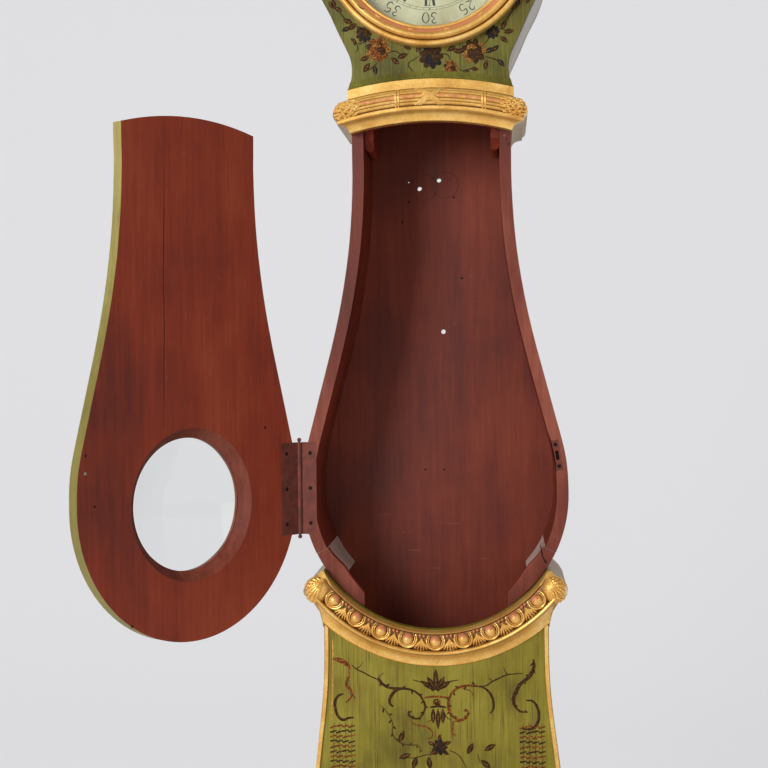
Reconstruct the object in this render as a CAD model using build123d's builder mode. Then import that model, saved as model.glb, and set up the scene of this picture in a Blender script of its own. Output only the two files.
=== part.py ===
from build123d import *
from math import acos, atan2, cos, degrees, hypot, radians, sin, sqrt
import os

os.makedirs("parts", exist_ok=True)

# ---- driving dimensions, millimetres; origin on the floor under the plinth, +Z up, front toward -Y ----
WAIST_FRONT = -100.0  # front edges of the waist boards
CASE_BACK = 100.0  # back face of the back boards
BACK_THK = 15.0
BOARD = 19.0  # curved side boards
GAP = 0.5  # door to case, trim to trim

BELLY_Z = 895.0  # centre of the round belly
BELLY_R = 219.0
PEAR_SLOPE = [  # the waist outline from the belly up: narrower by, higher by
    (0.0, 0.0),
    (3.5, 58.0),
    (17.5, 118.0),
    (33.5, 178.0),
    (49.0, 238.0),
    (63.0, 298.0),
    (74.0, 358.0),
    (82.0, 418.0),
    (86.5, 478.0),
    (88.2, 538.0),
    (87.6, 605.0),
    (87.4, 645.0),
]
PEAR = [(BELLY_R - narrower, BELLY_Z + higher) for narrower, higher in PEAR_SLOPE]
NECK_TOP = PEAR[-1][1]
NECK_HALF = PEAR[-1][0]
BELLY_END = 41.5  # the side boards stop this far below the horizontal
RIM_START = 26.0  # front rims run on from here ...
RIM_X = 118.0  # ... to their upright ends
RIM_THK = 18.0
RIM_WIDTHS = [  # degrees below the horizontal, width of the rim there
    (RIM_START, 21.4),
    (32.0, 24.3),
    (38.0, 27.4),
    (45.0, 24.4),
    (50.0, 22.0),
]
RIM_TIP = 18.6  # width at the upright end
RIM_NOSE = 9.0

ARCH_DOOR = 486.0  # radii of the arched edges at the neck
ARCH_Z = NECK_TOP - ARCH_DOOR - 41.0  # their centre
ARCH_COVE = ARCH_DOOR + 9.0
ARCH_FILLET = ARCH_COVE + 16.0
ARCH_TORUS = ARCH_FILLET + 5.0
ARCH_TOP = ARCH_TORUS + 31.0
ARCH_BAND = ARCH_TOP + 16.0

DOOR_THK = 20.0
DOOR_BELLY_Z = BELLY_Z + 5.0
DOOR_R = BELLY_R - 1.5
DOOR_OPEN = 130.5  # the door rests this far open
LENS_R_GLASS = 104.0
LENS_RABBET = LENS_R_GLASS + 6.5
LENS_R_IN = LENS_R_GLASS + 15.5

PIN_X = -BELLY_R - 5.0  # hinge pin of the door
PIN_Z0 = BELLY_Z - 64.0
PIN_LEN = 152.0
PIN_R = 2.0
KNUCKLE_R = 4.1
RUN = 0.05  # radial running fit
LEAF_THK = 1.8
LEAF_CASE_X = PIN_X + 28.0
LEAF_DOOR_X = PIN_X + 40.0

TRIM_Y = -120.0  # plane the mouldings stand on
MITRE_GAP = 0.3  # front length to side return
UPPER_HALF = NECK_HALF + 0.4  # mitre corner of the upper moulding
UPPER_OUT = 26.0
LOWER_HALF = 184.0  # mitre corner of the lower moulding
LOWER_IN = BELLY_R + 1.2
COURSE_HALF = 15.4  # half width of the egg course
CREST_R = LOWER_IN + COURSE_HALF
COURSE_END = CREST_R + COURSE_HALF
EGG_R = CREST_R - 1.2  # radius that the eggs stand on
LOWER_OUT = COURSE_END + 27.0
LOWER_DEEP = 32.0
COURSE_DEEP = LOWER_DEEP - 4.0
COURSE_ROUND = 11.0  # how far the egg course bulges
EGG_STEP = 11.1  # degrees from egg to egg
EGG_SIZE = 9.5
PANEL_IN = BELLY_R + 0.5  # top edge of the base panel

BASE = [  # half width and height of the base outline
    (236.0, 90.0),
    (226.0, 220.0),
    (212.0, 350.0),
    (200.5, 451.0),
    (196.0, 488.0),
    (190.8, 528.0),
    (186.7, 567.0),
    (184.3, 607.0),
    (183.6, 646.0),
    (183.5, 690.0),
    (183.5, 775.0),
]
BASE_BOARD = 18.0
PLINTH_HALF = 250.0
PLINTH_H = BASE[0][1] - 2.0
COVE_H = 16.0

HEAD_Z = 1802.0  # centre of dial, bezel and head
HEAD_R = 199.2
HOOD_FRONT = -118.0
HOOD_THK = 18.0
HOOD = [  # half width and height of the hood outline up to its round head
    (134.5, 1545.0),
    (133.4, 1562.0),
    (129.6, 1578.0),
    (128.2, 1594.0),
    (130.5, 1611.0),
    (137.4, 1628.0),
    (155.6, 1667.0),
    (174.5, 1706.0),
]
SHELL_THK = 8.0
MASK_R = 147.0
BEZEL_IN = 141.0
BEZEL_OUT = 175.0
DIAL_R = 160.0

PLATE_F = -62.0  # front face of the front plate
PLATE_THK = 4.0
PLATE_GAP = 60.0
SEAT_Z = 1730.0


def front(y):
    """Drawing plane facing the front, at depth y."""
    return Plane.XZ.offset(-y)


def inset(points, t):
    """Points moved t along the inner normal of the polyline through them."""
    out = []
    for i, (x, z) in enumerate(points):
        a = points[max(i - 1, 0)]
        b = points[min(i + 1, len(points) - 1)]
        dx, dz = (0.0, 1.0) if i == 0 else (b[0] - a[0], b[1] - a[1])
        n = hypot(dx, dz)
        out.append((x - dz / n * t, z + dx / n * t))
    return out


def on_circle(cz, r, deg):
    """Point on a circle about (0, cz)."""
    return (r * cos(radians(deg)), cz + r * sin(radians(deg)))


def arch(r, x):
    """Height of the arch of radius r at x."""
    return ARCH_Z + sqrt(r * r - x * x)


# ================= waist =================
inner = inset(PEAR, BOARD)

with BuildPart() as waist_side_right:
    with BuildSketch(front(CASE_BACK - BACK_THK)):
        with BuildLine():
            outer_line = Spline(*PEAR, tangents=[(0, 1), (0, 1)])
            inner_line = Spline(*inner, tangents=[(0, 1), (0, 1)])
            Line(outer_line @ 1, inner_line @ 1)
            CenterArc((0, BELLY_Z), BELLY_R, 0, -BELLY_END)
            CenterArc((0, BELLY_Z), BELLY_R - BOARD, 0, -BELLY_END)
            Line(on_circle(BELLY_Z, BELLY_R, -BELLY_END), on_circle(BELLY_Z, BELLY_R - BOARD, -BELLY_END))
        make_face()
    extrude(amount=CASE_BACK - BACK_THK - WAIST_FRONT)
    with BuildSketch(front(WAIST_FRONT + RIM_THK)):
        with BuildLine():
            Polyline(
                on_circle(BELLY_Z, BELLY_R - BOARD - 9, -RIM_START),
                on_circle(BELLY_Z, BELLY_R + 9, -RIM_START),
                (BELLY_R, BELLY_Z - BELLY_R),
                (0, BELLY_Z - BELLY_R),
                close=True,
            )
        make_face()
    extrude(amount=RIM_THK, mode=Mode.SUBTRACT)

with BuildPart() as waist_side_left:
    mirror(waist_side_right.part, about=Plane.YZ)
    with BuildSketch(front(WAIST_FRONT + LEAF_THK)):
        with Locations(((PIN_X + LEAF_CASE_X) / 2, PIN_Z0 + PIN_LEN / 2)):
            Rectangle(LEAF_CASE_X - PIN_X, PIN_LEN)
    extrude(amount=LEAF_THK, mode=Mode.SUBTRACT)

STRIKE = (BELLY_R - 18.0, BELLY_Z + 63.5)  # strike plate on the right front edge
STRIKE_TILT = 9.5
STRIKE_W = 11.0
STRIKE_L = 49.0
STRIKE_THK = 1.6
SLOT = (5.6, 15.0)
SLOT_DEEP = 15.0
with BuildPart() as waist_side_right_cut:
    add(waist_side_right.part)
    with BuildSketch(front(WAIST_FRONT + STRIKE_THK)):
        with Locations(Location((STRIKE[0], STRIKE[1], 0), (0, 0, STRIKE_TILT))):
            Rectangle(STRIKE_W, STRIKE_L)
    extrude(amount=STRIKE_THK, mode=Mode.SUBTRACT)
    with BuildSketch(front(WAIST_FRONT + SLOT_DEEP)):
        with Locations(Location((STRIKE[0], STRIKE[1], 0), (0, 0, STRIKE_TILT))):
            Rectangle(*SLOT)
    extrude(amount=SLOT_DEEP, mode=Mode.SUBTRACT)

SCREW_R = 3.2  # screw heads
SCREW_DEEP = 1.0
SCREW_PROUD = 0.15
HOLE_FIT = 0.05
SCREW_OFF = 18.0
STRIKE_SPOTS = []
for end in (-1, 1):
    dx = -end * SCREW_OFF * sin(radians(STRIKE_TILT))
    dz = end * SCREW_OFF * cos(radians(STRIKE_TILT))
    STRIKE_SPOTS.append((STRIKE[0] + dx, STRIKE[1] + dz))
with BuildPart() as strike_plate:
    with BuildSketch(front(WAIST_FRONT + STRIKE_THK)):
        with Locations(Location((STRIKE[0], STRIKE[1], 0), (0, 0, STRIKE_TILT))):
            Rectangle(STRIKE_W, STRIKE_L)
            Rectangle(*SLOT, mode=Mode.SUBTRACT)
        with Locations(*STRIKE_SPOTS):
            Circle(SCREW_R + HOLE_FIT, mode=Mode.SUBTRACT)
    extrude(amount=STRIKE_THK)

rim_end = degrees(acos(RIM_X / BELLY_R))
rim_tip = (RIM_X, BELLY_Z - sqrt((BELLY_R - RIM_TIP) ** 2 - RIM_X**2))
with BuildPart() as waist_rim_right:
    with BuildSketch(front(WAIST_FRONT + RIM_THK)) as rim_face:
        with BuildLine():
            rim_out = CenterArc((0, BELLY_Z), BELLY_R, -RIM_START, RIM_START - rim_end)
            rim_in = Spline(*[on_circle(BELLY_Z, BELLY_R - width, -down) for down, width in RIM_WIDTHS], rim_tip)
            Line(rim_out @ 0, rim_in @ 0)
            Line(rim_out @ 1, rim_in @ 1)
        make_face()
        fillet(rim_face.vertices().group_by(Axis.X)[0].sort_by(Axis.Y)[-1], RIM_NOSE)
    extrude(amount=RIM_THK)

with BuildPart() as waist_rims:
    add(waist_rim_right.part)
    mirror(waist_rim_right.part, about=Plane.YZ)

HOLE_R = 4.0
HOLES = [(-29.2, 1418.6), (5.1, 1432.9), (10.1, 1166.4)]
NAIL_HOLE = (-48.4, 1430.4)
NAIL_R = 1.6
RAIL_THK = 16.0
RAIL_H = 2 * (NECK_TOP - 1500.0)
with BuildPart() as neck_rail:
    with BuildSketch(front(WAIST_FRONT + RAIL_THK)):
        with Locations((0, NECK_TOP - RAIL_H / 2)):
            Rectangle(2 * (NECK_HALF - BOARD - 0.6), RAIL_H)
        with Locations((0, ARCH_Z)):
            Circle(ARCH_COVE + 1, mode=Mode.SUBTRACT)
    extrude(amount=RAIL_THK)

CHEEK_THK = 14.0
CHEEK_X = NECK_HALF - BOARD - 1.4  # outer face of the seat cheeks
CHEEK_Z0 = 1466.0
CHEEK_FRONT = -80.0
CHEEK_BACK = 60.0
CHEEK_CUT = 18.0  # slanting foot of the cheek
CHEEK_ROUND = 6.0
SEAT_THK = 18.0
seat_under = SEAT_Z - SEAT_THK
with BuildPart() as seat_cheek_right:
    with BuildSketch(Plane.YZ.offset(CHEEK_X - CHEEK_THK)):
        with BuildLine():
            Polyline(
                (CHEEK_BACK, seat_under),
                (CHEEK_BACK, CHEEK_Z0),
                (CHEEK_FRONT + CHEEK_CUT, CHEEK_Z0),
                (CHEEK_FRONT, CHEEK_Z0 + CHEEK_CUT),
                (CHEEK_FRONT, seat_under),
                close=True,
            )
        make_face()
    extrude(amount=CHEEK_THK)
    fillet(seat_cheek_right.edges().filter_by(Axis.Y).group_by(Axis.Z)[0], CHEEK_ROUND)
with BuildPart() as seat_cheeks:
    add(seat_cheek_right.part)
    mirror(seat_cheek_right.part, about=Plane.YZ)

LINE_X = 45.0  # weight lines
LINE_Y = -30.0
LINE_HOLE = (64.0, 44.0)
ROD_Y = 34.0  # pendulum
ROD_HOLE = (60.0, 26.0)
SEAT_DEEP = 138.0
SEAT_Y = -8.0
with BuildPart() as seat_board:
    with BuildSketch(Plane.XY.offset(seat_under)):
        with Locations((0, SEAT_Y)):
            Rectangle(2 * CHEEK_X, SEAT_DEEP)
        with Locations((-LINE_X, LINE_Y), (LINE_X, LINE_Y)):
            Rectangle(*LINE_HOLE, mode=Mode.SUBTRACT)
        with Locations((0, ROD_Y)):
            Rectangle(*ROD_HOLE, mode=Mode.SUBTRACT)
    extrude(amount=SEAT_THK)

# ================= door hinge =================
KNUCKLES = 5
KNUCKLE_GAP = 0.4
seg = PIN_LEN / KNUCKLES
case_rows = [PIN_Z0 + seg * i for i in (0, 2, 4)]
door_rows = [PIN_Z0 + seg * i for i in (1, 3)]
PIN_Y = WAIST_FRONT - GAP / 2
SCREW_END = 18.0  # outer screws from the ends of the leaves
SCREW_ROWS = [PIN_Z0 + SCREW_END, PIN_Z0 + PIN_LEN / 2, PIN_Z0 + PIN_LEN - SCREW_END]
LEAF_NECK = 0.5  # between the leaf and the knuckles of the other one
BALL_R = 3.4
SLOT_CUT = (0.9, 0.6)  # screw slots: width, depth
CASE_SPOTS = [(LEAF_CASE_X - 10, z) for z in SCREW_ROWS]
DOOR_SPOTS = [(LEAF_DOOR_X - 12, z) for z in SCREW_ROWS]


def leaf(rows, x_end, y_back, spots):
    """Leaf plate with its screw holes, and its knuckles on the pin axis."""
    with BuildPart() as body:
        with BuildSketch(front(y_back)):
            with Locations(((PIN_X + KNUCKLE_R + LEAF_NECK + x_end) / 2, PIN_Z0 + PIN_LEN / 2)):
                Rectangle(x_end - PIN_X - KNUCKLE_R - LEAF_NECK, PIN_LEN)
            for z in rows:
                with Locations((PIN_X + KNUCKLE_R, z + seg / 2)):
                    Rectangle(2 * KNUCKLE_R, seg - KNUCKLE_GAP)
        extrude(amount=LEAF_THK)
        for z in rows:
            with Locations((PIN_X, PIN_Y, z + seg / 2)):
                Cylinder(KNUCKLE_R, seg - KNUCKLE_GAP)
        with Locations((PIN_X, PIN_Y, PIN_Z0 + PIN_LEN / 2)):
            Cylinder(PIN_R + RUN, PIN_LEN + 2, mode=Mode.SUBTRACT)
        with BuildSketch(front(y_back)):
            with Locations(*spots):
                Circle(SCREW_R + HOLE_FIT)
        extrude(amount=LEAF_THK, mode=Mode.SUBTRACT)
    return body


case_leaf = leaf(case_rows, LEAF_CASE_X, WAIST_FRONT + LEAF_THK, CASE_SPOTS)
door_leaf = leaf(door_rows, LEAF_DOOR_X, WAIST_FRONT - GAP, DOOR_SPOTS)

with BuildPart() as hinge_pin:
    with Locations((PIN_X, PIN_Y, PIN_Z0 + PIN_LEN / 2)):
        Cylinder(PIN_R, PIN_LEN + 4)
    with Locations((PIN_X, PIN_Y, PIN_Z0 - 4), (PIN_X, PIN_Y, PIN_Z0 + PIN_LEN + 4)):
        Sphere(BALL_R)


def screw_heads(spots, y, toward_back):
    """Slotted heads let in to the plane y, a hair proud of it."""
    sign = -1 if toward_back else 1
    with BuildPart() as body:
        with BuildSketch(front(y + sign * SCREW_DEEP)):
            with Locations(*spots):
                Circle(SCREW_R)
        extrude(amount=sign * (SCREW_DEEP + SCREW_PROUD))
        with BuildSketch(front(y + sign * (SCREW_DEEP - SLOT_CUT[1]))):
            with Locations(*spots):
                Rectangle(2 * SCREW_R + 1, SLOT_CUT[0])
        extrude(amount=sign * SCREW_DEEP, mode=Mode.SUBTRACT)
    return body


case_screws = screw_heads(CASE_SPOTS + STRIKE_SPOTS, WAIST_FRONT, False)
door_screws_closed = screw_heads(DOOR_SPOTS, WAIST_FRONT - GAP, True)

# ================= door =================
DOOR_IN = WAIST_FRONT - GAP
DOOR_OUT = DOOR_IN - DOOR_THK
PEAR_DOOR = [(DOOR_R, DOOR_BELLY_Z)] + [(x - 0.6, z) for x, z in PEAR[1:-2]]
top_x = NECK_HALF - 0.6
PEAR_DOOR.append((top_x, arch(ARCH_DOOR, top_x)))
GLASS_DEEP = 15.8  # inner face of the door to the rabbet of the glass
LOCK_Z = BELLY_Z + 61.0
LOCK_X = BELLY_R - 35.0
LOCK_W = 46.0
LOCK_H = 46.0
LOCK_T = 9.0
KEY_X = LOCK_X - 2.0
BOLT_DROP = 4.0  # below the middle of the strike plate
BOLT_X = STRIKE[0] + BOLT_DROP * sin(radians(STRIKE_TILT))
BOLT_Z = STRIKE[1] - BOLT_DROP
BOLT = SLOT[0] - 1.0
BOLT_LEN = 13.0
BOLT_SHY = 1.0  # withdrawn bolt below the inner face of the door
KEY_R = 3.0  # keyhole: round, and the slot under it
KEY_SLOT = (2.6, 8.0)
KEY_DROP = 5.0
KEY_ROOM = (6.5, 13.0)

with BuildPart() as door_closed:
    with BuildSketch(front(DOOR_IN)):
        with BuildLine():
            d_r = Spline(*PEAR_DOOR, tangents=[(0, 1), (0, 1)])
            d_l = Spline(*[(-x, z) for x, z in PEAR_DOOR], tangents=[(0, 1), (0, 1)])
            ThreePointArc(d_r @ 1, (0, ARCH_Z + ARCH_DOOR), d_l @ 1)
            CenterArc((0, DOOR_BELLY_Z), DOOR_R, 180, 180)
        make_face()
    extrude(amount=DOOR_THK)
    with BuildSketch(Plane.YZ):
        with BuildLine():
            Polyline(
                (DOOR_IN + 1, BELLY_Z),
                (DOOR_IN + 1, BELLY_Z + LENS_R_IN + 1),
                (DOOR_IN - GLASS_DEEP, BELLY_Z + LENS_R_GLASS),
                (DOOR_IN - GLASS_DEEP, BELLY_Z + LENS_RABBET),
                (DOOR_OUT - 1, BELLY_Z + LENS_RABBET),
                (DOOR_OUT - 1, BELLY_Z),
                close=True,
            )
        make_face()
    revolve(axis=Axis((0, 0, BELLY_Z), (0, 1, 0)), mode=Mode.SUBTRACT)
    with BuildSketch(front(DOOR_IN)):
        with Locations(((PIN_X + LEAF_DOOR_X) / 2, PIN_Z0 + PIN_LEN / 2)):
            Rectangle(LEAF_DOOR_X - PIN_X, PIN_LEN)
    extrude(amount=LEAF_THK, mode=Mode.SUBTRACT)
    with Locations((LOCK_X, (DOOR_IN + DOOR_OUT) / 2, LOCK_Z)):
        Box(LOCK_W + 1, LOCK_T + 1, LOCK_H + 1, mode=Mode.SUBTRACT)
    with BuildSketch(front(DOOR_IN)):
        with Locations((BOLT_X, BOLT_Z)):
            Circle(BOLT / 2 + 0.4)
    extrude(amount=DOOR_THK / 2, mode=Mode.SUBTRACT)
    with BuildSketch(front(DOOR_OUT + DOOR_THK / 2)):
        with Locations((KEY_X, LOCK_Z)):
            Circle(KEY_R)
        with Locations((KEY_X, LOCK_Z - KEY_DROP)):
            Rectangle(*KEY_SLOT)
    extrude(amount=DOOR_THK / 2, mode=Mode.SUBTRACT)

LENS_FLAT = 3.0
LENS_RISE = 11.0
LENS_FIT = 0.4
dome_r = LENS_R_GLASS - 4
dome_sphere = (dome_r**2 + LENS_RISE**2) / (2 * LENS_RISE)
lens_y = DOOR_IN - GLASS_DEEP - LENS_FIT  # inner face of the glass
with BuildPart() as lens_closed:
    with Locations((0, lens_y - LENS_FLAT + dome_sphere - LENS_RISE, BELLY_Z)):
        Sphere(dome_sphere)
    with Locations((0, lens_y + dome_sphere - LENS_FLAT + 1, BELLY_Z)):
        Box(2.1 * dome_sphere, 2 * dome_sphere + 2, 2.1 * dome_sphere, mode=Mode.SUBTRACT)
    with Locations((0, lens_y - LENS_FLAT / 2, BELLY_Z)):
        Cylinder(LENS_RABBET - 0.5, LENS_FLAT, rotation=(90, 0, 0))

RING_IN = LENS_R_GLASS + 0.6  # carved ring that holds the glass
RING_OUT = RING_IN + 22.4
RING_BACK = DOOR_OUT - 0.1
RING_FACE = DOOR_OUT - 5.0
RING_CREST = DOOR_OUT - 13.0
ring_stations = [
    (RING_BACK, RING_IN),
    (RING_FACE, RING_IN),
    (RING_CREST, RING_IN + 8.0),
    (RING_FACE - 1, RING_OUT - 7),
    (RING_FACE - 2, RING_OUT - 3),
    (RING_FACE + 2, RING_OUT),
    (RING_BACK, RING_OUT),
]
with BuildPart() as lens_ring_closed:
    with BuildSketch(Plane.YZ):
        with BuildLine():
            ring_pts = [(y, BELLY_Z + r) for y, r in ring_stations]
            Line(ring_pts[0], ring_pts[1])
            ThreePointArc(ring_pts[1], ring_pts[2], ring_pts[3])
            ThreePointArc(ring_pts[3], ring_pts[4], ring_pts[5])
            Polyline(ring_pts[5], ring_pts[6], ring_pts[0])
        make_face()
    revolve(axis=Axis((0, 0, BELLY_Z), (0, 1, 0)))

with BuildPart() as lock_closed:
    with Locations((LOCK_X, (DOOR_IN + DOOR_OUT) / 2, LOCK_Z)):
        Box(LOCK_W, LOCK_T, LOCK_H)
    with Locations((BOLT_X, DOOR_IN - DOOR_THK / 2, BOLT_Z)):
        Cylinder(BOLT / 2 + 0.3, LOCK_T + 2, rotation=(90, 0, 0), mode=Mode.SUBTRACT)
    with Locations((KEY_X, DOOR_OUT + DOOR_THK / 2 - LOCK_T / 2, LOCK_Z - KEY_DROP + 2)):
        Box(KEY_ROOM[0], LOCK_T, KEY_ROOM[1], mode=Mode.SUBTRACT)

with BuildPart() as bolt_closed:
    with Locations((BOLT_X, DOOR_IN - BOLT_SHY - BOLT_LEN / 2, BOLT_Z)):
        Cylinder(BOLT / 2, BOLT_LEN, rotation=(90, 0, 0))

SHIELD = (11.0, 19.0)  # half width and half height of the keyhole plate
SHIELD_THK = 1.5
with BuildPart() as escutcheon_closed:
    with BuildSketch(front(DOOR_OUT)):
        with Locations((KEY_X, LOCK_Z - 2)):
            Ellipse(*SHIELD)
        with Locations((KEY_X, LOCK_Z)):
            Circle(KEY_R, mode=Mode.SUBTRACT)
        with Locations((KEY_X, LOCK_Z - KEY_DROP)):
            Rectangle(*KEY_SLOT, mode=Mode.SUBTRACT)
    extrude(amount=SHIELD_THK)

PIN_AXIS = Axis((PIN_X, PIN_Y, 0), (0, 0, 1))


def opened(part):
    """The closed door piece turned to its open rest."""
    return part.rotate(PIN_AXIS, -DOOR_OPEN)


# ================= upper moulding =================
def prism(points, z0, z1):
    """Upright prism over a plan outline."""
    with BuildPart(mode=Mode.PRIVATE) as body:
        with BuildSketch(Plane.XY.offset(z0)):
            with BuildLine():
                Polyline(*points, close=True)
            make_face()
        extrude(amount=z1 - z0)
    return body.part


def mitre(half, back):
    """Plan outline of a front length between two 45 degree mitres."""
    reach = 60.0
    return [
        (-half, back),
        (half, back),
        (half, TRIM_Y),
        (half + reach, TRIM_Y - reach),
        (-half - reach, TRIM_Y - reach),
        (-half, TRIM_Y),
    ]


UPPER_PROFILE = [  # arch radius, depth in front of the trim plane
    (ARCH_COVE, 1.0),
    (ARCH_COVE + 5, 3.0),
    (ARCH_COVE + 11, 8.5),
    (ARCH_FILLET - 0.5, 17.5),
    (ARCH_FILLET, 19.5),
    (ARCH_TORUS, 20.0),
    (ARCH_TORUS + 4, 24.0),
    (ARCH_TORUS + 10, UPPER_OUT),
    (ARCH_TORUS + 17, UPPER_OUT - 0.6),
    (ARCH_TORUS + 24, 20.0),
    (ARCH_TORUS + 28, 12.5),
    (ARCH_TOP, 3.0),
]
with BuildPart() as upper_moulding:
    with BuildSketch(Plane.YZ):
        with BuildLine():
            Polyline(
                (WAIST_FRONT - GAP, ARCH_Z + ARCH_COVE),
                *[(TRIM_Y - d, ARCH_Z + r) for r, d in UPPER_PROFILE],
                (WAIST_FRONT - GAP, ARCH_Z + ARCH_TOP),
                close=True,
            )
        make_face()
    revolve(axis=Axis((0, 0, ARCH_Z), (0, 1, 0)))
    add(prism(mitre(UPPER_HALF, WAIST_FRONT - GAP / 2), ARCH_Z + 300, ARCH_Z + ARCH_BAND + 40), mode=Mode.INTERSECT)


def mitre_cut(half, z):
    """Block that trims a side return to its mitre, the parting clearance of the front length off."""
    near = TRIM_Y + 5 + MITRE_GAP
    far = TRIM_Y - 80 + MITRE_GAP
    return prism([(half - 5, near), (half - 5, far), (half + 80, far)], z - 130, z + 90)


with BuildPart() as upper_return_right:
    pts = [(UPPER_HALF + d, arch(r, UPPER_HALF + d)) for r, d in UPPER_PROFILE]
    with BuildSketch(front(CASE_BACK)):
        with BuildLine():
            Polyline((UPPER_HALF, pts[0][1] + 0.5), *pts, (UPPER_HALF, pts[-1][1] - 0.2), close=True)
        make_face()
    extrude(amount=CASE_BACK - TRIM_Y + 60)
    add(mitre_cut(UPPER_HALF, ARCH_Z + ARCH_TORUS), mode=Mode.SUBTRACT)
with BuildPart() as upper_returns:
    add(upper_return_right.part)
    mirror(upper_return_right.part, about=Plane.YZ)

# ================= lower moulding =================
DOOR_FLOOR = BELLY_Z - 123.0  # the open door swings over this height
LOWER_PROFILE = [(LOWER_IN, 1.0), (LOWER_IN + 1.2, 7.0), (LOWER_IN + 4.5, 20.0)]  # radius, depth
for k in range(3, 8):
    a = radians(180 - 180 * k / 8)
    LOWER_PROFILE.append((CREST_R + COURSE_HALF * cos(a), COURSE_DEEP - COURSE_ROUND * (1 - sin(a))))
LOWER_PROFILE += [
    (COURSE_END, COURSE_DEEP - 6.0),
    (COURSE_END + 0.8, COURSE_DEEP),
    (COURSE_END + 5.0, COURSE_DEEP),
    (COURSE_END + 5.6, COURSE_DEEP - 3.0),
    (COURSE_END + 9.0, 16.0),
    (COURSE_END + 15.0, 6.0),
    (LOWER_OUT - 1.5, 2.0),
    (LOWER_OUT, 1.5),
]
EASING = {-1: 46.0, 1: 31.0}  # foot of the eased corners under the door, hinge side and lock side
EASING_LIP = 6.0  # depth left at their tops
with BuildPart() as lower_moulding:
    with BuildSketch(Plane.YZ):
        with BuildLine():
            Polyline(
                (TRIM_Y - 0.1, BELLY_Z - LOWER_IN),
                *[(TRIM_Y - d, BELLY_Z - r) for r, d in LOWER_PROFILE],
                (TRIM_Y - 0.1, BELLY_Z - LOWER_OUT),
                close=True,
            )
        make_face()
    revolve(axis=Axis((0, 0, BELLY_Z), (0, 1, 0)))
    for k in range(-4, 5):
        x = EGG_R * sin(radians(EGG_STEP * k))
        z = BELLY_Z - EGG_R * cos(radians(EGG_STEP * k))
        with Locations((x, TRIM_Y - LOWER_DEEP + EGG_SIZE, z)):
            Sphere(EGG_SIZE)
    add(prism(mitre(LOWER_HALF, TRIM_Y + 5), BELLY_Z - LOWER_OUT - 50, DOOR_FLOOR), mode=Mode.INTERSECT)
    for side, foot in EASING.items():
        with BuildSketch(Plane.YZ):
            with BuildLine():
                Polyline(
                    (TRIM_Y - LOWER_DEEP, DOOR_FLOOR - foot),
                    (TRIM_Y - LOWER_DEEP - 4, DOOR_FLOOR - foot),
                    (TRIM_Y - LOWER_DEEP - 4, DOOR_FLOOR + 1),
                    (TRIM_Y, DOOR_FLOOR + 1),
                    (TRIM_Y - EASING_LIP, DOOR_FLOOR - 1),
                    close=True,
                )
            make_face()
        extrude(amount=side * (LOWER_HALF + 2 * LOWER_DEEP), mode=Mode.SUBTRACT)

LOWER_RETURN = [  # side return section: out from the mitre corner, down from its top
    (0.0, 1.0),
    (5.0, 2.0),
    (15.0, 8.0),
    (24.0, 17.0),
    (30.0, 27.0),
    (29.0, 35.0),
    (25.0, 38.0),
    (15.0, 50.0),
    (6.0, 66.0),
    (2.0, 84.0),
    (1.5, 91.0),
    (0.0, 92.0),
]
with BuildPart() as lower_return_right:
    with BuildSketch(front(CASE_BACK)):
        with BuildLine():
            Polyline(
                *[(LOWER_HALF + out, DOOR_FLOOR - down) for out, down in LOWER_RETURN],
                close=True,
            )
        make_face()
    extrude(amount=CASE_BACK - TRIM_Y + 60)
    add(mitre_cut(LOWER_HALF, BELLY_Z - EGG_R + 60), mode=Mode.SUBTRACT)
with BuildPart() as lower_returns:
    add(lower_return_right.part)
    mirror(lower_return_right.part, about=Plane.YZ)

with BuildPart() as moulding_returns:
    add(upper_returns.part)
    add(lower_returns.part)

# ================= base =================
BASE_Z0 = BASE[0][1]
with BuildPart() as base_front:
    with BuildSketch(front(WAIST_FRONT - GAP / 2)):
        with BuildLine():
            b_r = Spline(*BASE)
            b_l = Spline(*[(-x, z) for x, z in BASE])
            Line(b_r @ 0, b_l @ 0)
            Line(b_r @ 1, b_l @ 1)
        make_face()
        with Locations((0, BELLY_Z)):
            Circle(PANEL_IN, mode=Mode.SUBTRACT)
    extrude(amount=WAIST_FRONT - GAP / 2 - TRIM_Y)

base_in = inset(BASE, -BASE_BOARD)
base_in = [(2 * x - xi, z) for (x, z), (xi, zi) in zip(BASE, base_in)]
with BuildPart() as base_side_right:
    with BuildSketch(front(CASE_BACK - BACK_THK)):
        with BuildLine():
            s_o = Spline(*BASE)
            s_i = Spline(*base_in)
            Line(s_o @ 0, s_i @ 0)
            Line(s_o @ 1, s_i @ 1)
        make_face()
        with Locations((0, BELLY_Z)):
            Circle(PANEL_IN, mode=Mode.SUBTRACT)
    extrude(amount=CASE_BACK - BACK_THK - WAIST_FRONT)
with BuildPart() as base_sides:
    add(base_side_right.part)
    mirror(base_side_right.part, about=Plane.YZ)

BEAD_R = 3.0
with BuildPart() as base_bead_right:
    with BuildSketch(front(TRIM_Y - 0.1)):
        with BuildLine():
            edge = [(x - BEAD_R - 1, z) for x, z in BASE[:-1]]
            e_o = Spline(*[(x + BEAD_R, z) for x, z in edge])
            e_i = Spline(*[(x - BEAD_R, z) for x, z in edge])
            Line(e_o @ 0, e_i @ 0)
            Line(e_o @ 1, e_i @ 1)
        make_face()
        with Locations((0, BELLY_Z)):
            Circle(LOWER_OUT + 0.5, mode=Mode.SUBTRACT)
        with Locations((0, 0)):
            Rectangle(600, 2 * (PLINTH_H + GAP + COVE_H + GAP), mode=Mode.SUBTRACT)
    extrude(amount=BEAD_R)
with BuildPart() as base_beads:
    add(base_bead_right.part)
    mirror(base_bead_right.part, about=Plane.YZ)

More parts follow.
